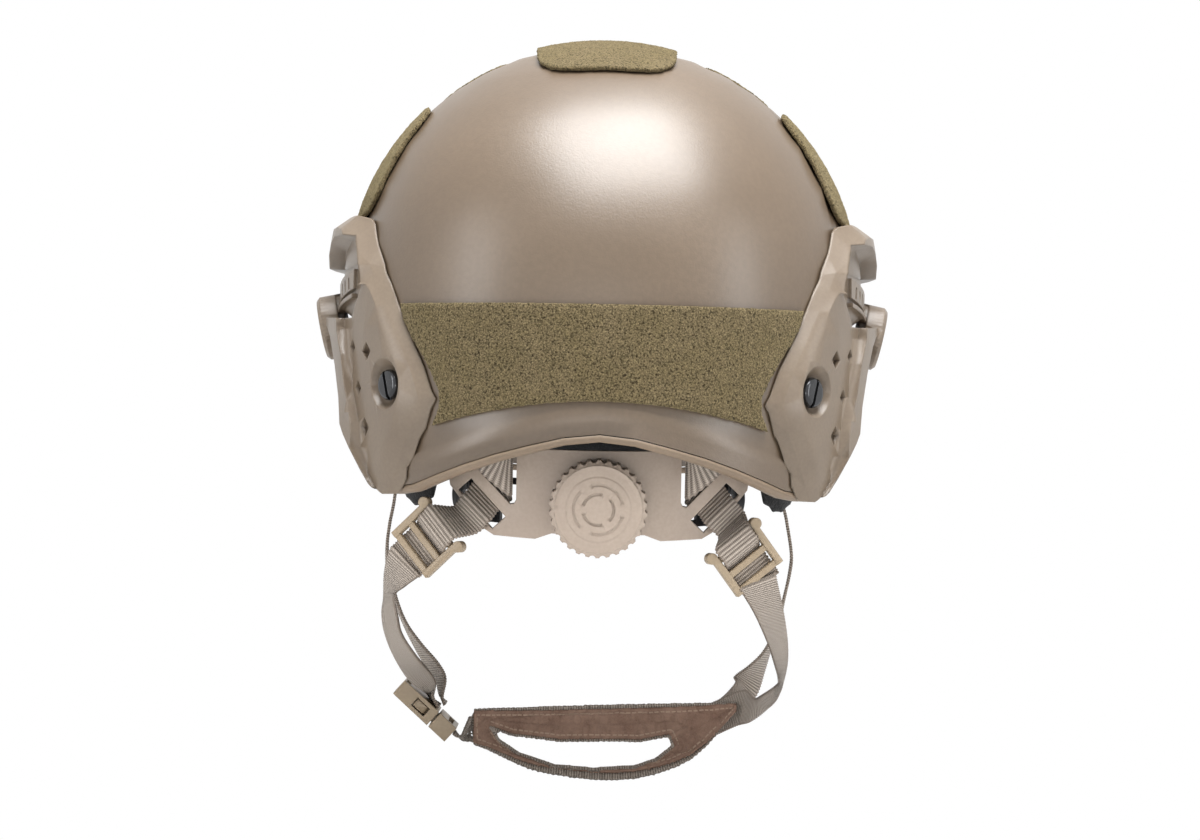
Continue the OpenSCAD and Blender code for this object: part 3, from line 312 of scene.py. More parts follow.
print("materials")
shellCoat = mouldedMaterial("matt shell coat", {"rough": 0.37, "grain": 1050.0, "cloud": 14.0, "dark": "#594B3C",
    "light": "#605141", "fleck": "#514436", "rubbed": "#A8957E", "bump": 0.34, "speck": 0.3, "rub": 0.3,
    "edge": 0.0006, "sockets": {"Specular_IOR_Level": 0.72}})
edgeRubber = mouldedMaterial("edging rubber", {"rough": 0.55, "grain": 1300.0, "cloud": 30.0, "dark": "#70604E",
    "light": "#7A6957", "fleck": "#665646", "rubbed": "#9E8C76", "bump": 0.2})
railPlastic = mouldedMaterial("rail plastic", {"rough": 0.36, "grain": 1700.0, "cloud": 26.0, "dark": "#695C4E",
    "light": "#726556", "fleck": "#5D5145", "rubbed": "#998977", "bump": 0.16, "rub": 0.55, "edge": 0.0011})
napePlastic = mouldedMaterial("nape plastic", {"rough": 0.45, "grain": 1600.0, "cloud": 30.0, "dark": "#96877A",
    "light": "#A09183", "fleck": "#887A6D", "rubbed": "#BFB1A3", "bump": 0.14, "rub": 0.5, "edge": 0.0007})
bucklePlastic = mouldedMaterial("buckle plastic", {"rough": 0.42, "grain": 1600.0, "cloud": 40.0, "dark": "#8F7E67",
    "light": "#9A8971", "fleck": "#806F59", "rubbed": "#BCAC94", "bump": 0.12, "rub": 0.5, "edge": 0.0006})
blackPlastic = mouldedMaterial("black plastic", {"rough": 0.45, "grain": 1500.0, "cloud": 30.0, "dark": "#17171A",
    "light": "#1F1F22", "fleck": "#121214", "rubbed": "#3A3A3D", "bump": 0.15})
gearPlastic = mouldedMaterial("gear plastic", {"rough": 0.35, "grain": 1200.0, "cloud": 40.0, "dark": "#C9C4B6",
    "light": "#D4CFC1", "fleck": "#BDB7A8", "rubbed": "#E4DFD3", "bump": 0.08})
foam = mouldedMaterial("liner foam", {"rough": 0.8, "grain": 700.0, "cloud": 50.0, "dark": "#161617",
    "light": "#202021", "fleck": "#2B2B2C", "rubbed": "#333334", "bump": 0.5, "speck": 0.8})
darkSteel = mouldedMaterial("oxide black steel", {"rough": 0.2, "grain": 1400.0, "cloud": 60.0, "dark": "#2A2B2D",
    "light": "#37383B", "fleck": "#232426", "rubbed": "#77777A", "bump": 0.12, "rub": 0.7, "edge": 0.0005,
    "sockets": {"Metallic": 0.75, "Coat Weight": 0.6, "Coat Roughness": 0.1}})
platedSteel = mouldedMaterial("plated steel", {"rough": 0.3, "grain": 900.0, "cloud": 60.0, "dark": "#8C8C8E",
    "light": "#A0A0A2", "fleck": "#79797B", "rubbed": "#C8C8CA", "bump": 0.1, "edge": 0.0005,
    "sockets": {"Metallic": 1.0}})

# loop pile: lengths in metres, texture scales per metre
# the dark colours are painted shade, laid low between the loops; the light ones are the loops' tops
pileLook = {"loops": 1450.0, "drift": 55.0, "bend": 500.0, "push": 0.0016, "thread": 1500.0, "sink": -0.7,
    "paintedShadeSpan": (-0.05, 0.55), "dark": "#1E180E", "light": "#7E7050", "warmDark": "#231D12", "warmLight": "#86775A",
    "sheen": "#B9AC86", "bump": 0.9, "deep": 0.0006}


def makePileGroup():
    # cells for the loops of a brushed pile, threads running over them, and painted shade from their height
    tree, given, end = newGroup("loop pile", {"Loops": 1100.0, "Drift": 60.0},
        {"Height": "NodeSocketFloat", "Shade": "NodeSocketFloat", "Drifted": "NodeSocketFloat"})
    coord = objectCoord(tree)
    bend = tree.nodes.new("ShaderNodeTexNoise")
    bend.inputs["Scale"].default_value = pileLook["bend"]
    tree.links.new(coord, bend.inputs["Vector"])
    push = vectorNode(tree, "MULTIPLY", bend.outputs["Color"], (pileLook["push"],) * 3)
    moved = vectorNode(tree, "ADD", coord, push)
    cell = cellNode(tree, moved, given["Loops"], "SMOOTH_F1")
    thread = noiseNode(tree, moved, pileLook["thread"], detail=4.0, rough=0.75)
    drift = noiseNode(tree, coord, given["Drift"], detail=5.0, rough=0.65)
    height = addShare(tree, thread, cell, pileLook["sink"])
    # the shade output is painted shade: the height made into a colour mask, darkest low between the loops
    giveOut(tree, end, Height=height, Shade=remap(tree, height, *pileLook["paintedShadeSpan"]),
        Drifted=remap(tree, drift, *noiseSpan))
    return tree


def pileMaterial():
    mat, tree, shader = startMaterial("loop pile cloth", 0.95, Sheen_Weight=0.35, Sheen_Roughness=0.5,
        Sheen_Tint=tint(pileLook["sheen"]), Specular_IOR_Level=0.15)
    loops = useGroup(tree, makePileGroup(), Loops=pileLook["loops"], Drift=pileLook["drift"])
    # painted shade: dark low between the loops, light on their tops; the drift mixes two such tones at random
    base = mixColour(tree, loops["Shade"], tint(pileLook["dark"]), tint(pileLook["light"]))
    warm = mixColour(tree, loops["Shade"], tint(pileLook["warmDark"]), tint(pileLook["warmLight"]))
    base = mixColour(tree, loops["Drifted"], base, warm)
    linkCloth(tree, shader, base, loops["Height"], pileLook["bump"], pileLook["deep"])
    return mat


# woven band: ribs across it, cut into short floats by the yarns, with painted shade in the grooves
weaveLook = {"rib": 0.00125, "yarn": 0.0008, "half": 0.0095, "ribShare": 0.62, "yarnShare": 0.28, "fuzz": 2600.0,
    "fuzzShare": 0.5, "paintedShadeSpan": (-0.7, 1.1), "edgeSpan": (0.86, 0.97), "dark": "#51483F", "light": "#B5A99D",
    "edge": "#83776C", "bump": 0.7, "deep": 0.00025}


def makeWeaveGroup():
    tree, given, end = newGroup("woven band", {"Rib": 0.00105, "Yarn": 0.0007, "Half width": 0.0095},
        {"Height": "NodeSocketFloat", "Shade": "NodeSocketFloat", "Selvedge": "NodeSocketFloat"})
    uv, across, along = stripCoord(tree)
    height = mathNode(tree, "MULTIPLY", waveNode(tree, along, given["Rib"]), weaveLook["ribShare"])
    height = addShare(tree, height, waveNode(tree, across, given["Yarn"]), weaveLook["yarnShare"])
    height = addShare(tree, height, noiseNode(tree, uv, weaveLook["fuzz"], detail=3.0, rough=0.6),
        weaveLook["fuzzShare"])
    outward = mathNode(tree, "DIVIDE", mathNode(tree, "ABSOLUTE", across), given["Half width"])
    # the shade output is painted shade: the height made into a colour mask, darkest in the grooves
    giveOut(tree, end, Height=height, Shade=remap(tree, height, *weaveLook["paintedShadeSpan"]),
        Selvedge=remap(tree, outward, *weaveLook["edgeSpan"]))
    return tree


def webbingMaterial():
    mat, tree, shader = startMaterial("grey tan webbing", 0.72, Sheen_Weight=0.15, Specular_IOR_Level=0.3)
    band = useGroup(tree, makeWeaveGroup(), Rib=weaveLook["rib"], Yarn=weaveLook["yarn"], Half_width=weaveLook["half"])
    # painted shade: dark in the grooves between ribs and yarns, light on their tops
    base = mixColour(tree, band["Shade"], tint(weaveLook["dark"]), tint(weaveLook["light"]))
    base = mixColour(tree, band["Selvedge"], base, tint(weaveLook["edge"]))
    linkCloth(tree, shader, base, band["Height"], weaveLook["bump"], weaveLook["deep"])
    return mat


# suede with puckers across it, painted shade in their folds, and a row of stitches beside the border
suedeLook = {"sheen": "#A08A7A", "dark": "#6C5144", "light": "#957A6A", "fold": "#4A372D", "worn": "#A08574",
    "thread": "#A8917F", "nap": 1400.0, "drift": 70.0, "pucker": (70.0, 330.0, 1.0), "foldShadeSpan": (0.3, 0.55),
    "foldShare": 0.45, "napShare": 0.5, "seam": 0.0022, "threadHalf": 0.00035, "stitch": 0.0014, "stitchGap": 0.0004,
    "pullWide": 0.0012, "pull": -0.6, "napRise": 0.35, "threadRise": 0.7, "puckerRise": 2.2, "bump": 0.7,
    "deep": 0.0005}


def suedeMaterial():
    look = suedeLook
    mat, tree, shader = startMaterial("cup suede", 0.9, Sheen_Weight=0.3, Sheen_Tint=tint(look["sheen"]),
        Specular_IOR_Level=0.2)
    uv, fromEdge, along = stripCoord(tree)
    coord = objectCoord(tree)
    nap = noiseNode(tree, coord, look["nap"], detail=4.0, rough=0.7)
    drift = noiseNode(tree, coord, look["drift"], detail=4.0, rough=0.6)
    pucker = noiseNode(tree, vectorNode(tree, "MULTIPLY", uv, look["pucker"]), 1.0, detail=2.0, rough=0.5)
    base = mixColour(tree, remap(tree, drift, *noiseSpan), tint(look["dark"]), tint(look["light"]))
    # the fold colour is painted shade, laid where the puckers sink
    foldShade = remap(tree, pucker, *look["foldShadeSpan"], look["foldShare"], 0.0)
    base = mixColour(tree, foldShade, base, tint(look["fold"]))
    base = mixColour(tree, remap(tree, nap, *noiseSpan, 0.0, look["napShare"]), base, tint(look["worn"]))
    offSeam = mathNode(tree, "ABSOLUTE", mathNode(tree, "SUBTRACT", fromEdge, look["seam"]))
    inRow = mathNode(tree, "LESS_THAN", offSeam, look["threadHalf"])
    inStitch = mathNode(tree, "GREATER_THAN", mathNode(tree, "PINGPONG", along, look["stitch"]), look["stitchGap"])
    thread = mathNode(tree, "MULTIPLY", inRow, inStitch)
    base = mixColour(tree, thread, base, tint(look["thread"]))
    height = remap(tree, offSeam, 0.0, look["pullWide"], look["pull"], 0.0)
    height = addShare(tree, height, nap, look["napRise"])
    height = addShare(tree, height, thread, look["threadRise"])
    height = addShare(tree, height, pucker, look["puckerRise"])
    linkCloth(tree, shader, base, height, look["bump"], look["deep"])
    return mat


# knitted cloth of the pads, with pale lint and painted shade in the hollows between the knit cells
knitLook = {"sheen": "#8A8A8A", "knit": 1100.0, "knitSpan": (0.0, 0.6), "high": "#232324", "low": "#121213",
    "lint": 900.0, "lintSpan": (0.62, 0.75), "lintShare": 0.5, "fleck": "#4A4A4B", "bump": 0.5, "deep": -0.0004}


def padClothMaterial():
    mat, tree, shader = startMaterial("pad cloth", 0.9, Sheen_Weight=0.4, Sheen_Tint=tint(knitLook["sheen"]),
        Specular_IOR_Level=0.2)
    coord = objectCoord(tree)
    knit = cellNode(tree, coord, knitLook["knit"], "F1")
    lint = noiseNode(tree, coord, knitLook["lint"], detail=3.0, rough=0.7)
    # painted shade: the high colour on the knit cells, the darker low one in the hollows between them
    base = mixColour(tree, remap(tree, knit, *knitLook["knitSpan"]), tint(knitLook["high"]), tint(knitLook["low"]))
    flecks = remap(tree, lint, *knitLook["lintSpan"], 0.0, knitLook["lintShare"])
    base = mixColour(tree, flecks, base, tint(knitLook["fleck"]))
    linkCloth(tree, shader, base, knit, knitLook["bump"], knitLook["deep"])
    return mat


loopPile = pileMaterial()
webbing = webbingMaterial()
suede = suedeMaterial()
padCloth = padClothMaterial()

# rigid nodes: material, slot, angle in degrees above which an edge is sharp, nodes
print("rigid pieces")
rigidLooks = (
    (shellCoat, "shell_coat", 40, ("shell",)),
    (edgeRubber, "edging", 60, ("edge_trim",)),
    (foam, "foam", 40, ("liner",)),
    (railPlastic, "rail_plastic", 15, ("rail_left", "rail_right")),
    (railPlastic, "rail_plastic", 32, ("shroud",)),
    (darkSteel, "hardware", 32, ("shroud_screws",)),
    (platedSteel, "plated_steel", 32, ("rail_nuts", "shroud_nuts", "rear_anchors", "front_anchors", "dial_screw")),
    (napePlastic, "nape_plastic", 32, ("nape_plate", "dial_knob")),
    (blackPlastic, "black_plastic", 32, ("nape_cover", "band_arm_left", "band_arm_right")),
    (gearPlastic, "gear_plastic", 32, ("dial_pinion",)),
    (bucklePlastic, "buckle_plastic", 32, ("ladder_lock_left", "ladder_lock_right", "buckle_socket", "buckle_plug",
        "prong_front", "prong_back")),
)
# widths of the rounded edges in millimetres, and angles in degrees
softEdges = {"ladder_lock_left": 0.9, "ladder_lock_right": 0.9, "buckle_socket": 0.7, "buckle_plug": 0.7,
    "nape_plate": 0.7}
softLook = {"flat": 1.5, "sharp": 40, "segments": 3}


def dissolveFlat():
    bpy.ops.mesh.dissolve_limited(angle_limit=math.radians(softLook["flat"]))


def roundEdges(piece, width):
    editMesh(piece, dissolveFlat)
    bevel = piece.modifiers.new("soft edges", "BEVEL")
    bevel.width = width * mm
    bevel.segments = softLook["segments"]
    bevel.limit_method = "ANGLE"
    bevel.angle_limit = math.radians(softLook["sharp"])
    applyAll(piece)


for material, slotName, angle, names in rigidLooks:
    for node in names:
        piece = copyNode(node, node + ".finish")
        if node in softEdges:
            roundEdges(piece, softEdges[node])
        smoothShade(piece, angle)
        finishPiece(piece, bodyOf[node], slotName, material, node)


# rail screws: domed heads with a driver slot, the same two on each side, in millimetres and degrees
screwLook = {"head": 13.5, "rise": 4.4, "dome": 3.4, "domeSteps": 10, "headSides": 72, "shank": 5.0, "length": 14.4,
    "sunk": 0.2, "shankSides": 32, "slot": 1.8, "slotDeep": 2.2, "slotTurn": -72, "blade": 40, "smooth": 30}
screwPlaces = (
    {"at": (88.330, 90.330, 13.500), "across": (0.643, -0.766, 0.000), "out": (0.766, 0.643, 0.000), "seat": 1.9},
    {"at": (102.848, -62.267, 58.000), "across": (-0.383, -0.924, 0.000), "out": (0.924, -0.383, 0.000), "seat": 3.2},
)


def applyTransform():
    bpy.ops.object.transform_apply(location=True, rotation=True, scale=True)


def upright(width, length, sides, middle):
    bpy.ops.mesh.primitive_cylinder_add(vertices=sides, radius=width / 2 * mm, depth=length * mm,
        location=(0, 0, middle * mm))
    applyTransform()
    return bpy.context.object


def screwHead():
    head = upright(screwLook["head"], screwLook["rise"], screwLook["headSides"], screwLook["rise"] / 2)
    dome = head.modifiers.new("dome", "BEVEL")
    dome.width = screwLook["dome"] * mm
    dome.segments = screwLook["domeSteps"]
    dome.limit_method = "ANGLE"
    applyAll(head)
    bpy.ops.mesh.primitive_cube_add(size=1, location=(0, 0, screwLook["rise"] * mm))
    blade = bpy.context.object
    blade.scale = (screwLook["blade"] * mm, screwLook["slot"] * mm, 2 * screwLook["slotDeep"] * mm)
    blade.rotation_euler = (0, 0, math.radians(screwLook["slotTurn"]))
    applyTransform()
    slotCut = head.modifiers.new("slot", "BOOLEAN")
    slotCut.operation = "DIFFERENCE"
    slotCut.object = blade
    slotCut.solver = "EXACT"
    applyAll(head)
    bpy.data.objects.remove(blade)
    return head


def seatScrew(screw, place, side):
    out = Vector(place["out"]).normalized()
    across = Vector(place["across"]).normalized()
    up = out.cross(across)
    foot = (Vector(place["at"]) + out * place["seat"]) * mm
    for v in screw.data.vertices:
        p = foot + across * v.co.x + up * v.co.y + out * v.co.z
        v.co = (p.x * side, p.y, p.z)


def railScrews():
    screws = []
    for place in screwPlaces:
        for side in (1, -1):
            screw = screwHead()
            shank = upright(screwLook["shank"], screwLook["length"], screwLook["shankSides"],
                screwLook["sunk"] - screwLook["length"] / 2)
            pick(screw, shank)
            bpy.ops.object.join()
            seatScrew(screw, place, side)
            screws.append(screw)
    pick(*screws)
    bpy.ops.object.join()
    piece = screws[0]
    piece.name = "rail_screws.finish"
    editMesh(piece, turnOutwards)
    smoothShade(piece, screwLook["smooth"])
    finishPiece(piece, "shell", "hardware", darkSteel, "rail_screws")


railScrews()

# loop patches, in metres
print("patches")
patchLook = {"voxel": 0.0009, "quickVoxel": 0.002, "rounds": 3, "fuzz": 0.0007, "middle": 0.45, "loopSize": 0.0011}


def pilePatch(node):
    piece = copyNode(node, node + ".pile")
    evenMesh(piece, patchLook["voxel"], patchLook["rounds"])
    cells = bpy.data.textures.new(node + " loops", "CLOUDS")
    cells.noise_scale = patchLook["loopSize"]
    cells.noise_depth = 1
    raised = piece.modifiers.new("loops", "DISPLACE")
    raised.texture = cells
    raised.strength = patchLook["fuzz"]
    raised.mid_level = patchLook["middle"]
    applyAll(piece)
    smoothShade(piece)
    finishPiece(piece, "shell", "loop_pile", loopPile, node)


for node in ("rear_patch", "crown_patch", "side_patches", "front_patches"):
    pilePatch(node)

# webbing, in millimetres: ribs are coarser on the rear straps up to the station coarseEnd
print("webbing")
strapLook = {"width": 19.0, "thick": 1.5, "steps": 12, "gap": 0.3, "rib": 1.25, "swell": 0.09, "scallop": 0.03,
    "coarseEnd": 22, "coarse": 0.72, "smooth": 50}
# half of the strap's section goes round from its left edge, in shares of half the width and half the thickness
strapTop = ((-1, 0), (-0.985, 0.62), (-0.94, 0.95), (-0.5, 1), (0, 1), (0.5, 1), (0.94, 0.95), (0.985, 0.62))
# stations: a point of the middle line, and the way across with its length as a share of the width
# the rear straps' upper run, from the anchor to the fold behind the nape plate, on the left
rearUpper = (
    ((70.0, 91.7, -1.8), (0.49, -0.59, -0.64)),
    ((69.4, 89.3, -3.0), (0.50, -0.45, -0.74)),
    ((62.2, 91.5, -6.0), (0.56, -0.36, -0.75)),
    ((56.0, 90.2, -6.7), (0.56, -0.48, -0.67)),
    ((50.0, 94.4, -12.0), (0.60, -0.42, -0.68)),
    ((44.0, 97.6, -17.5), (0.54, -0.32, -0.84)),
    ((39.6, 97.2, -21.1), (0.07, -0.04, -1.22)),
    ((38.0, 95.6, -21.6), (0.00, 0.00, -1.24)),
    ((39.0, 93.0, -22.2), (-0.10, 0.05, -1.21)),
    ((42.5, 90.4, -26.7), (-0.51, 0.32, -0.92)),
    ((46.5, 87.3, -31.3), (-0.64, 0.46, -0.62)),
    ((48.8, 85.5, -33.7), (-0.63, 0.48, -0.61)),
    ((51.0, 87.4, -36.8), (-0.63, 0.49, -0.60)),
    ((53.3, 89.1, -39.6), (-0.63, 0.49, -0.60)),
    ((58.0, 85.6, -44.4), (-0.61, 0.54, -0.58)),
)


def mirrored(stations):
    return tuple(((-x, y, z), (-u, v, w)) for (x, y, z), (u, v, w) in stations)


strapRoutes = {
    "rear_strap_left": rearUpper + (
        ((67.1, 91.9, -45.3), (-0.61, 0.27, -0.74)),
        ((70.0, 90.9, -48.1), (-0.61, 0.27, -0.74)),
        ((71.7, 90.0, -49.8), (-0.61, 0.27, -0.74)),
        ((72.2, 87.2, -51.3), (-0.61, 0.27, -0.74)),
        ((72.8, 84.5, -52.7), (-0.61, 0.27, -0.74)),
        ((74.0, 83.7, -54.0), (-0.61, 0.27, -0.74)),
        ((77.4, 82.2, -57.3), (-0.61, 0.27, -0.74)),
        ((80.5, 80.8, -60.4), (-0.61, 0.27, -0.74)),
        ((82.8, 79.8, -62.7), (-0.61, 0.27, -0.74)),
        ((84.6, 81.0, -64.5), (-0.69, 0.42, -0.58)),
        ((89.0, 72.0, -72.0), (-0.49, 0.82, -0.29)),
        ((92.0, 56.0, -80.0), (-0.30, 0.95, 0.05)),
        ((92.7, 38.0, -89.0), (-0.42, 0.90, -0.04)),
        ((92.3, 15.0, -99.0), (-0.48, 0.87, -0.04)),
        ((88.2, -10.0, -111.0), (-0.62, 0.78, 0.00)),
        ((83.5, -33.0, -121.0), (-0.50, 0.80, 0.33)),
        ((78.0, -48.0, -128.5), (-0.30, 0.90, 0.32)),
        ((77.8, -60.0, -134.2), (-0.10, 0.98, 0.12)),
        ((74.2, -61.0, -138.4), (0.00, 1.00, 0.00)),
    ),
    "rear_strap_right": mirrored(rearUpper) + (
        ((-58.1, 93.6, -49.8), (0.75, 0.24, -0.62)),
        ((-60.6, 93.1, -53.1), (0.75, 0.24, -0.62)),
        ((-62.0, 92.4, -55.0), (0.75, 0.24, -0.62)),
        ((-62.6, 89.8, -56.8), (0.75, 0.24, -0.62)),
        ((-63.2, 87.2, -58.5), (0.75, 0.24, -0.62)),
        ((-64.2, 86.6, -60.0), (0.75, 0.24, -0.62)),
        ((-67.2, 85.7, -63.9), (0.75, 0.24, -0.62)),
        ((-69.8, 84.8, -67.6), (0.75, 0.24, -0.62)),
        ((-71.8, 84.1, -70.2), (0.75, 0.24, -0.62)),
        ((-70.0, 88.0, -69.5), (0.84, 0.45, -0.30)),
        ((-75.4, 74.0, -82.0), (0.69, 0.71, -0.10)),
        ((-80.7, 50.0, -96.5), (0.52, 0.85, 0.00)),
        ((-84.2, 20.0, -108.5), (0.36, 0.93, 0.03)),
        ((-86.0, -8.0, -119.0), (0.15, 0.98, 0.10)),
        ((-85.4, -30.0, -126.0), (0.12, 0.92, 0.36)),
        ((-80.5, -47.0, -132.5), (0.18, 0.88, 0.42)),
        ((-75.5, -56.5, -137.0), (-0.05, 0.72, 0.66)),
        ((-70.5, -65.6, -136.8), (-0.15, 0.30, 0.93)),
        ((-60.4, -74.1, -142.0), (-0.20, 0.05, 0.97)),
        ((-50.4, -80.3, -147.2), (-0.20, 0.00, 0.97)),
    ),
    "front_strap_left": (
        ((90.7, -57.2, 38.0), (0.38, 0.92, 0.00)),
        ((88.5, -56.0, 24.0), (0.42, 0.90, 0.00)),
        ((90.0, -58.0, 8.0), (0.30, 0.95, 0.00)),
        ((96.0, -62.0, -14.0), (-0.05, 1.00, 0.00)),
        ((97.7, -65.0, -38.0), (-0.05, 1.00, 0.00)),
        ((100.0, -65.0, -52.0), (-0.05, 1.00, 0.00)),
        ((101.0, -65.0, -63.0), (-0.08, 1.00, 0.00)),
        ((100.0, -65.0, -74.0), (-0.13, 1.00, 0.00)),
        ((96.5, -66.0, -88.0), (-0.14, 1.00, 0.00)),
        ((92.0, -67.0, -99.0), (-0.16, 0.99, 0.00)),
        ((86.0, -69.0, -109.0), (-0.28, 0.96, 0.02)),
        ((79.0, -72.0, -119.0), (-0.40, 0.91, 0.08)),
        ((74.5, -71.0, -126.0), (-0.30, 0.94, 0.10)),
        ((73.7, -67.0, -134.1), (-0.10, 0.98, 0.05)),
        ((71.6, -67.0, -137.7), (0.00, 1.00, 0.00)),
    ),
    "front_strap_right": (
        ((-90.7, -57.2, 38.0), (-0.38, 0.92, 0.00)),
        ((-88.5, -56.0, 24.0), (-0.42, 0.90, 0.00)),
        ((-88.5, -58.0, 8.0), (-0.30, 0.95, 0.00)),
        ((-89.0, -64.0, -12.0), (0.05, 1.00, 0.00)),
        ((-88.0, -65.0, -34.0), (0.05, 1.00, 0.00)),
        ((-90.5, -65.0, -47.0), (0.05, 1.00, 0.00)),
        ((-93.0, -65.0, -62.0), (0.05, 1.00, 0.00)),
        ((-92.5, -65.0, -71.0), (0.05, 1.00, 0.00)),
        ((-90.0, -66.0, -84.0), (0.08, 1.00, 0.00)),
        ((-87.0, -68.0, -98.0), (0.12, 1.00, 0.00)),
        ((-82.5, -71.0, -110.0), (0.20, 0.97, 0.07)),
        ((-78.0, -73.0, -118.0), (0.45, 0.88, 0.14)),
        ((-73.0, -77.5, -127.0), (0.60, 0.55, 0.50)),
        ((-68.7, -73.2, -133.6), (0.10, 0.30, 0.93)),
        ((-59.2, -77.8, -142.6), (-0.20, 0.05, 0.97)),
        ((-50.4, -83.1, -147.4), (-0.20, 0.00, 0.97)),
    ),
}


def throughPoints(points, steps):
    # a smooth curve through the points
    out = []
    for i in range(len(points) - 1):
        a, b, c, d = (points[max(0, min(len(points) - 1, i + k))] for k in (-1, 0, 1, 2))
        for s in range(steps):
            t = s / steps
            out.append(0.5 * ((2 * b) + (c - a) * t + (2 * a - 5 * b + 4 * c - d) * t * t
                + (3 * b - a - 3 * c + d) * t ** 3))
    return out + [points[-1]]


def evenSteps(mids, ways, gap):
    # the same line in even steps: point, way across, and place in the count of the given points
    far = [0.0]
    for a, b in zip(mids, mids[1:]):
        far.append(far[-1] + (b - a).length)
    total = max(2, round(far[-1] / gap))
    out, k = [], 0
    for i in range(total + 1):
        at = far[-1] * i / total
        while k < len(far) - 2 and far[k + 1] < at:
            k += 1
        t = (at - far[k]) / (far[k + 1] - far[k])
        out.append((mids[k].lerp(mids[k + 1], t), ways[k].lerp(ways[k + 1], t), k + t))
    return out


def ribbon(name, stations, coarseEnd):
    look = strapLook
    spots = evenSteps(throughPoints([Vector(point) * mm for point, way in stations], look["steps"]),
        throughPoints([Vector(way) for point, way in stations], look["steps"]), look["gap"] * mm)
    mids, ways = [s[0] for s in spots], [s[1] for s in spots]
    half, rise = look["width"] * mm / 2, look["thick"] * mm / 2
    section = strapTop + tuple((-u, -v) for u, v in strapTop)
    verts, along, walked = [], [], 0.0
    for i, mid in enumerate(mids):
        run = mids[min(len(mids) - 1, i + 1)] - mids[max(0, i - 1)]
        up = ways[i].cross(run).normalized()
        if i:
            pace = look["coarse"] if spots[i][2] < coarseEnd * look["steps"] else 1
            walked += (mid - mids[i - 1]).length * pace
        along.append(walked)
        rib = math.sin(2 * math.pi * walked / (look["rib"] * mm))
        wide, high = half * (1 + look["scallop"] * rib), rise * (1 + look["swell"] * rib)
        verts += [mid + ways[i] * wide * u + up * high * v for u, v in section]
    count, last = len(section), len(mids) - 1
    faces = []
    for i in range(last):
        for k in range(count):
            k2 = (k + 1) % count
            faces.append(((i, k), (i, k2), (i + 1, k2), (i + 1, k)))
    faces.append([(0, k) for k in reversed(range(count))])
    faces.append([(last, k) for k in range(count)])
    mesh = bpy.data.meshes.new(name)
    mesh.from_pydata([tuple(v) for v in verts], [], [[i * count + k for i, k in face] for face in faces])
    layer = mesh.uv_layers.new(name="strip")
    for poly, face in zip(mesh.polygons, faces):
        for loop, (i, k) in zip(poly.loop_indices, face):
            layer.data[loop].uv = (section[k][0] * half, along[i])
    ob = bpy.data.objects.new(name, mesh)
    bpy.context.scene.collection.objects.link(ob)
    editMesh(ob, turnOutwards)
    smoothShade(ob, look["smooth"])
    return ob


for node, stations in strapRoutes.items():
    strap = ribbon(node + ".webbing", stations, strapLook["coarseEnd"] if node.startswith("rear") else 0)
    finishPiece(strap, "shell", "webbing", webbing, node)

# chin cup, in metres: its map holds the distance from the nearest border and the way along that border
print("chin cup")
cupLook = {"sharp": 50, "shortest": 0.02, "spacing": 0.0005, "voxel": 0.0007, "quickVoxel": 0.0015, "rounds": 2,
    "scallop": 0.00032, "pitch": 0.0026, "selvedge": 0.0011, "puff": 0.0006, "crease": 0.0018, "band": 0.003,
    "foldAlong": 190, "foldAcross": 60, "foldLayer": 3.0, "foldShare": 0.7, "crumple": 420, "crumpleShare": 0.3}


def borderLines(ob):
    # the solid's sharp edges, joined end to end
    mesh = bmesh.new()
    mesh.from_mesh(ob.data)
    left = {e for e in mesh.edges if e.is_manifold and e.calc_face_angle() > math.radians(cupLook["sharp"])}
    lines = []
    while left:
        edge = min(left, key=lambda e: e.index)
        left.discard(edge)
        line = list(edge.verts)
        while True:
            onward = sorted((e for e in line[-1].link_edges if e in left), key=lambda e: e.index)
            if not onward:
                break
            left.discard(onward[0])
            line.append(onward[0].other_vert(line[-1]))
        lines.append([v.co.copy() for v in line])
    mesh.free()
    return lines


def borderSamples(ob):
    # points on the longer borders, each with the way along its border and that border's length
    samples = []
    for points in borderLines(ob):
        total = sum((q - p).length for p, q in zip(points, points[1:]))
        if total < cupLook["shortest"]:
            continue
        walked = 0.0
        for p, q in zip(points, points[1:]):
            count = max(1, int((q - p).length / cupLook["spacing"]))
            for k in range(count):
                samples.append((p.lerp(q, k / count), walked + (q - p).length * k / count, total))
            walked += (q - p).length
    return samples


def borderMarks(ob, samples):
    # for each vertex: the distance from the nearest border, the way along it and its length
    tree = KDTree(len(samples))
    for i, sample in enumerate(samples):
        tree.insert(sample[0], i)
    tree.balance()
    marks = []
    for v in ob.data.vertices:
        i, away = tree.find(v.co)[1:]
        marks.append((away, samples[i][1], samples[i][2]))
    return marks


def scalloped(v, away, along):
    # small scallops beside the border
    wave = math.sin(2 * math.pi * along / cupLook["pitch"])
    return v.co + v.normal * cupLook["scallop"] * wave * max(0.0, 1 - away / cupLook["selvedge"])


def puckered(v, away, along):
    # swelled between the borders, with folds, on the face towards the chin
    look = cupLook
    inward = max(0.0, min(1.0, (v.normal.y + v.normal.z) * 2))
    rise = 1 - math.exp(-away / look["band"])
    place = Vector((along * look["foldAlong"], away * look["foldAcross"], look["foldLayer"]))
    fold = noise.noise(place) * look["foldShare"] + noise.noise(v.co * look["crumple"]) * look["crumpleShare"]
    return v.co + v.normal * inward * (look["puff"] * rise + look["crease"] * fold * min(1, away / look["band"]))


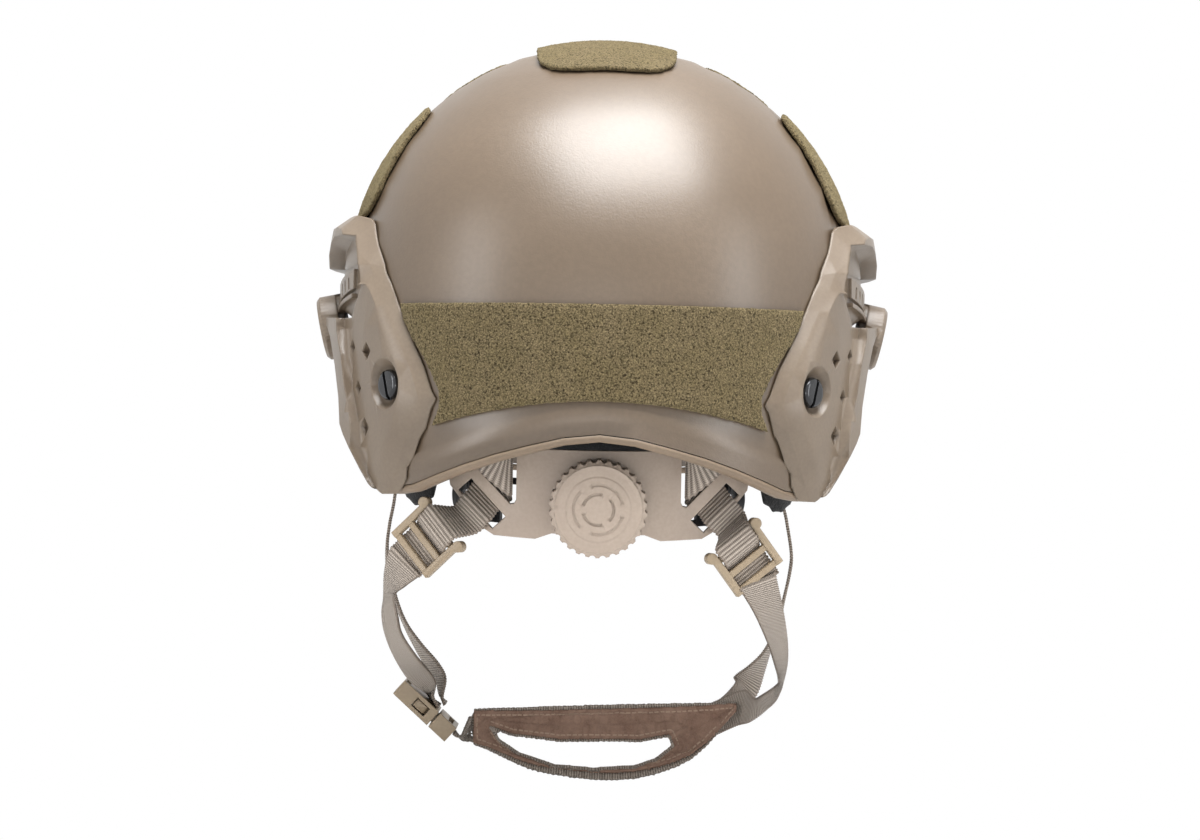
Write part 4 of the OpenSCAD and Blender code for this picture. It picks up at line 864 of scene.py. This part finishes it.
def cupCloth(node, material, slotName):
    piece = copyNode(node, node + ".cloth")
    samples = borderSamples(piece)
    evenMesh(piece, cupLook["voxel"], cupLook["rounds"])
    marks = borderMarks(piece, samples)
    points = piece.data.vertices
    movePoints(piece, [scalloped(v, mark[0], mark[1]) for v, mark in zip(points, marks)])
    if node == "cup_lining":
        movePoints(piece, [puckered(v, mark[0], mark[1]) for v, mark in zip(points, marks)])
    layer = piece.data.uv_layers.new(name="strip")
    for poly in piece.data.polygons:
        # a face across a border's end keeps to one turn of it
        corners = [marks[v] for v in poly.vertices]
        first = corners[0][1]
        for loop, (away, along, total) in zip(poly.loop_indices, corners):
            layer.data[loop].uv = (away, along - total * round((along - first) / total))
    smoothShade(piece)
    finishPiece(piece, "shell", slotName, material, node)


cupCloth("cup_webbing", webbing, "webbing")
cupCloth("cup_lining", suede, "suede")

# pads, in metres: drawn in, then swelled by a cloth's pressure, by no more than the cap
print("pads")
padLook = {"voxel": 0.0045, "shrink": 0.0012, "pressure": 4.0, "frames": 20, "cap": 0.004}


def swell(piece):
    start = [v.co.copy() for v in piece.data.vertices]
    cloth = piece.modifiers.new("swell", "CLOTH")
    cloth.settings.use_pressure = True
    cloth.settings.uniform_pressure_force = padLook["pressure"]
    cloth.settings.effector_weights.gravity = 0
    cloth.point_cache.frame_start = 1
    cloth.point_cache.frame_end = padLook["frames"]
    for step in range(padLook["frames"]):
        bpy.context.scene.frame_set(step + 1)
    applyAll(piece)
    bpy.context.scene.frame_set(1)
    for v, was in zip(piece.data.vertices, start):
        moved = v.co - was
        if moved.length > padLook["cap"]:
            v.co = was + moved.normalized() * padLook["cap"]


def swelledPad(node):
    piece = copyNode(node, node + ".cushion")
    evenMesh(piece, padLook["voxel"])
    draw = piece.modifiers.new("draw in", "DISPLACE")
    draw.strength = -padLook["shrink"]
    draw.mid_level = 0
    applyAll(piece)
    swell(piece)
    fine = piece.modifiers.new("round", "SUBSURF")
    fine.levels = 1
    fine.render_levels = 1
    applyAll(piece)
    smoothShade(piece)
    finishPiece(piece, "shell", "pad_cloth", padCloth, node)


for node in ("front_pad", "crown_pad", "side_pads", "back_pads", "nape_pad"):
    swelledPad(node)

# stage, light and camera, in metres and degrees
print("stage")
stageLook = {"floor": -0.178, "floorSize": 12, "paper": (0.86, 0.86, 0.86, 1), "paperRough": 0.9, "glow": 1.0,
    "world": 0.25, "distance": 1.535, "roll": 1.1, "lens": 100, "sensor": 36}
# each lamp's name, place, aim, size and power
lamps = (
    ("top softbox", (-0.12, 0.36, 1.13), (0, 0, 0.05), (0.95, 1.0), 42.0),
    ("left softbox", (1.2, 0.72, 0.25), (0, 0, 0.03), (0.35, 1.0), 7.0),
    ("right softbox", (-1.2, 0.62, 0.2), (0, 0, 0.0), (0.35, 1.0), 5.8),
    ("low softbox", (0.1, 1.5, -0.11), (0, 0, -0.06), (0.9, 0.12), 2.0),
)


def areaLamp(name, at, aim, size, power):
    data = bpy.data.lights.new(name, "AREA")
    data.shape = "RECTANGLE"
    data.size, data.size_y = size
    data.energy = power
    ob = bpy.data.objects.new(name, data)
    bpy.context.scene.collection.objects.link(ob)
    ob.location = at
    ob.rotation_euler = (Vector(aim) - Vector(at)).to_track_quat("-Z", "Y").to_euler()


def seenPlainly(tree):
    # 1 for what the camera sees, directly, in a reflection or through a piece
    rays = tree.nodes.new("ShaderNodeLightPath").outputs
    seen = mathNode(tree, "MAXIMUM", rays["Is Camera Ray"], rays["Is Glossy Ray"])
    return mathNode(tree, "MAXIMUM", seen, rays["Is Transmission Ray"])


for lamp in lamps:
    areaLamp(*lamp)

bpy.ops.mesh.primitive_plane_add(size=stageLook["floorSize"], location=(0, 0, stageLook["floor"]))
floor = bpy.context.object
floor.name = "floor"
paper, tree, shader = startMaterial("white paper", stageLook["paperRough"])
shader.inputs["Base Color"].default_value = stageLook["paper"]
bright = tree.nodes.new("ShaderNodeEmission")
bright.inputs["Strength"].default_value = stageLook["glow"]
blendShader = tree.nodes.new("ShaderNodeMixShader")
tree.links.new(seenPlainly(tree), blendShader.inputs[0])
tree.links.new(shader.outputs[0], blendShader.inputs[1])
tree.links.new(bright.outputs[0], blendShader.inputs[2])
tree.links.new(blendShader.outputs[0], tree.nodes["Material Output"].inputs["Surface"])
floor.data.materials.append(paper)

# the world looks white and lights the piece less
world = bpy.context.scene.world or bpy.data.worlds.new("studio")
bpy.context.scene.world = world
world.use_nodes = True
tree = world.node_tree
back = tree.nodes["Background"]
back.inputs["Color"].default_value = (1, 1, 1, 1)
level = addShare(tree, stageLook["world"], seenPlainly(tree), 1 - stageLook["world"])
tree.links.new(level, back.inputs["Strength"])

lens = bpy.data.cameras.new("camera")
lens.lens = stageLook["lens"]
lens.sensor_width = stageLook["sensor"]
camera = bpy.data.objects.new("camera", lens)
bpy.context.scene.collection.objects.link(camera)
camera.matrix_world = (Matrix.Translation((0, stageLook["distance"], 0)) @ Matrix.Rotation(math.pi, 4, "Z")
    @ Matrix.Rotation(math.pi / 2, 4, "X") @ Matrix.Rotation(math.radians(stageLook["roll"]), 4, "Z"))
bpy.context.scene.camera = camera
bpy.context.scene.view_settings.view_transform = "Standard"
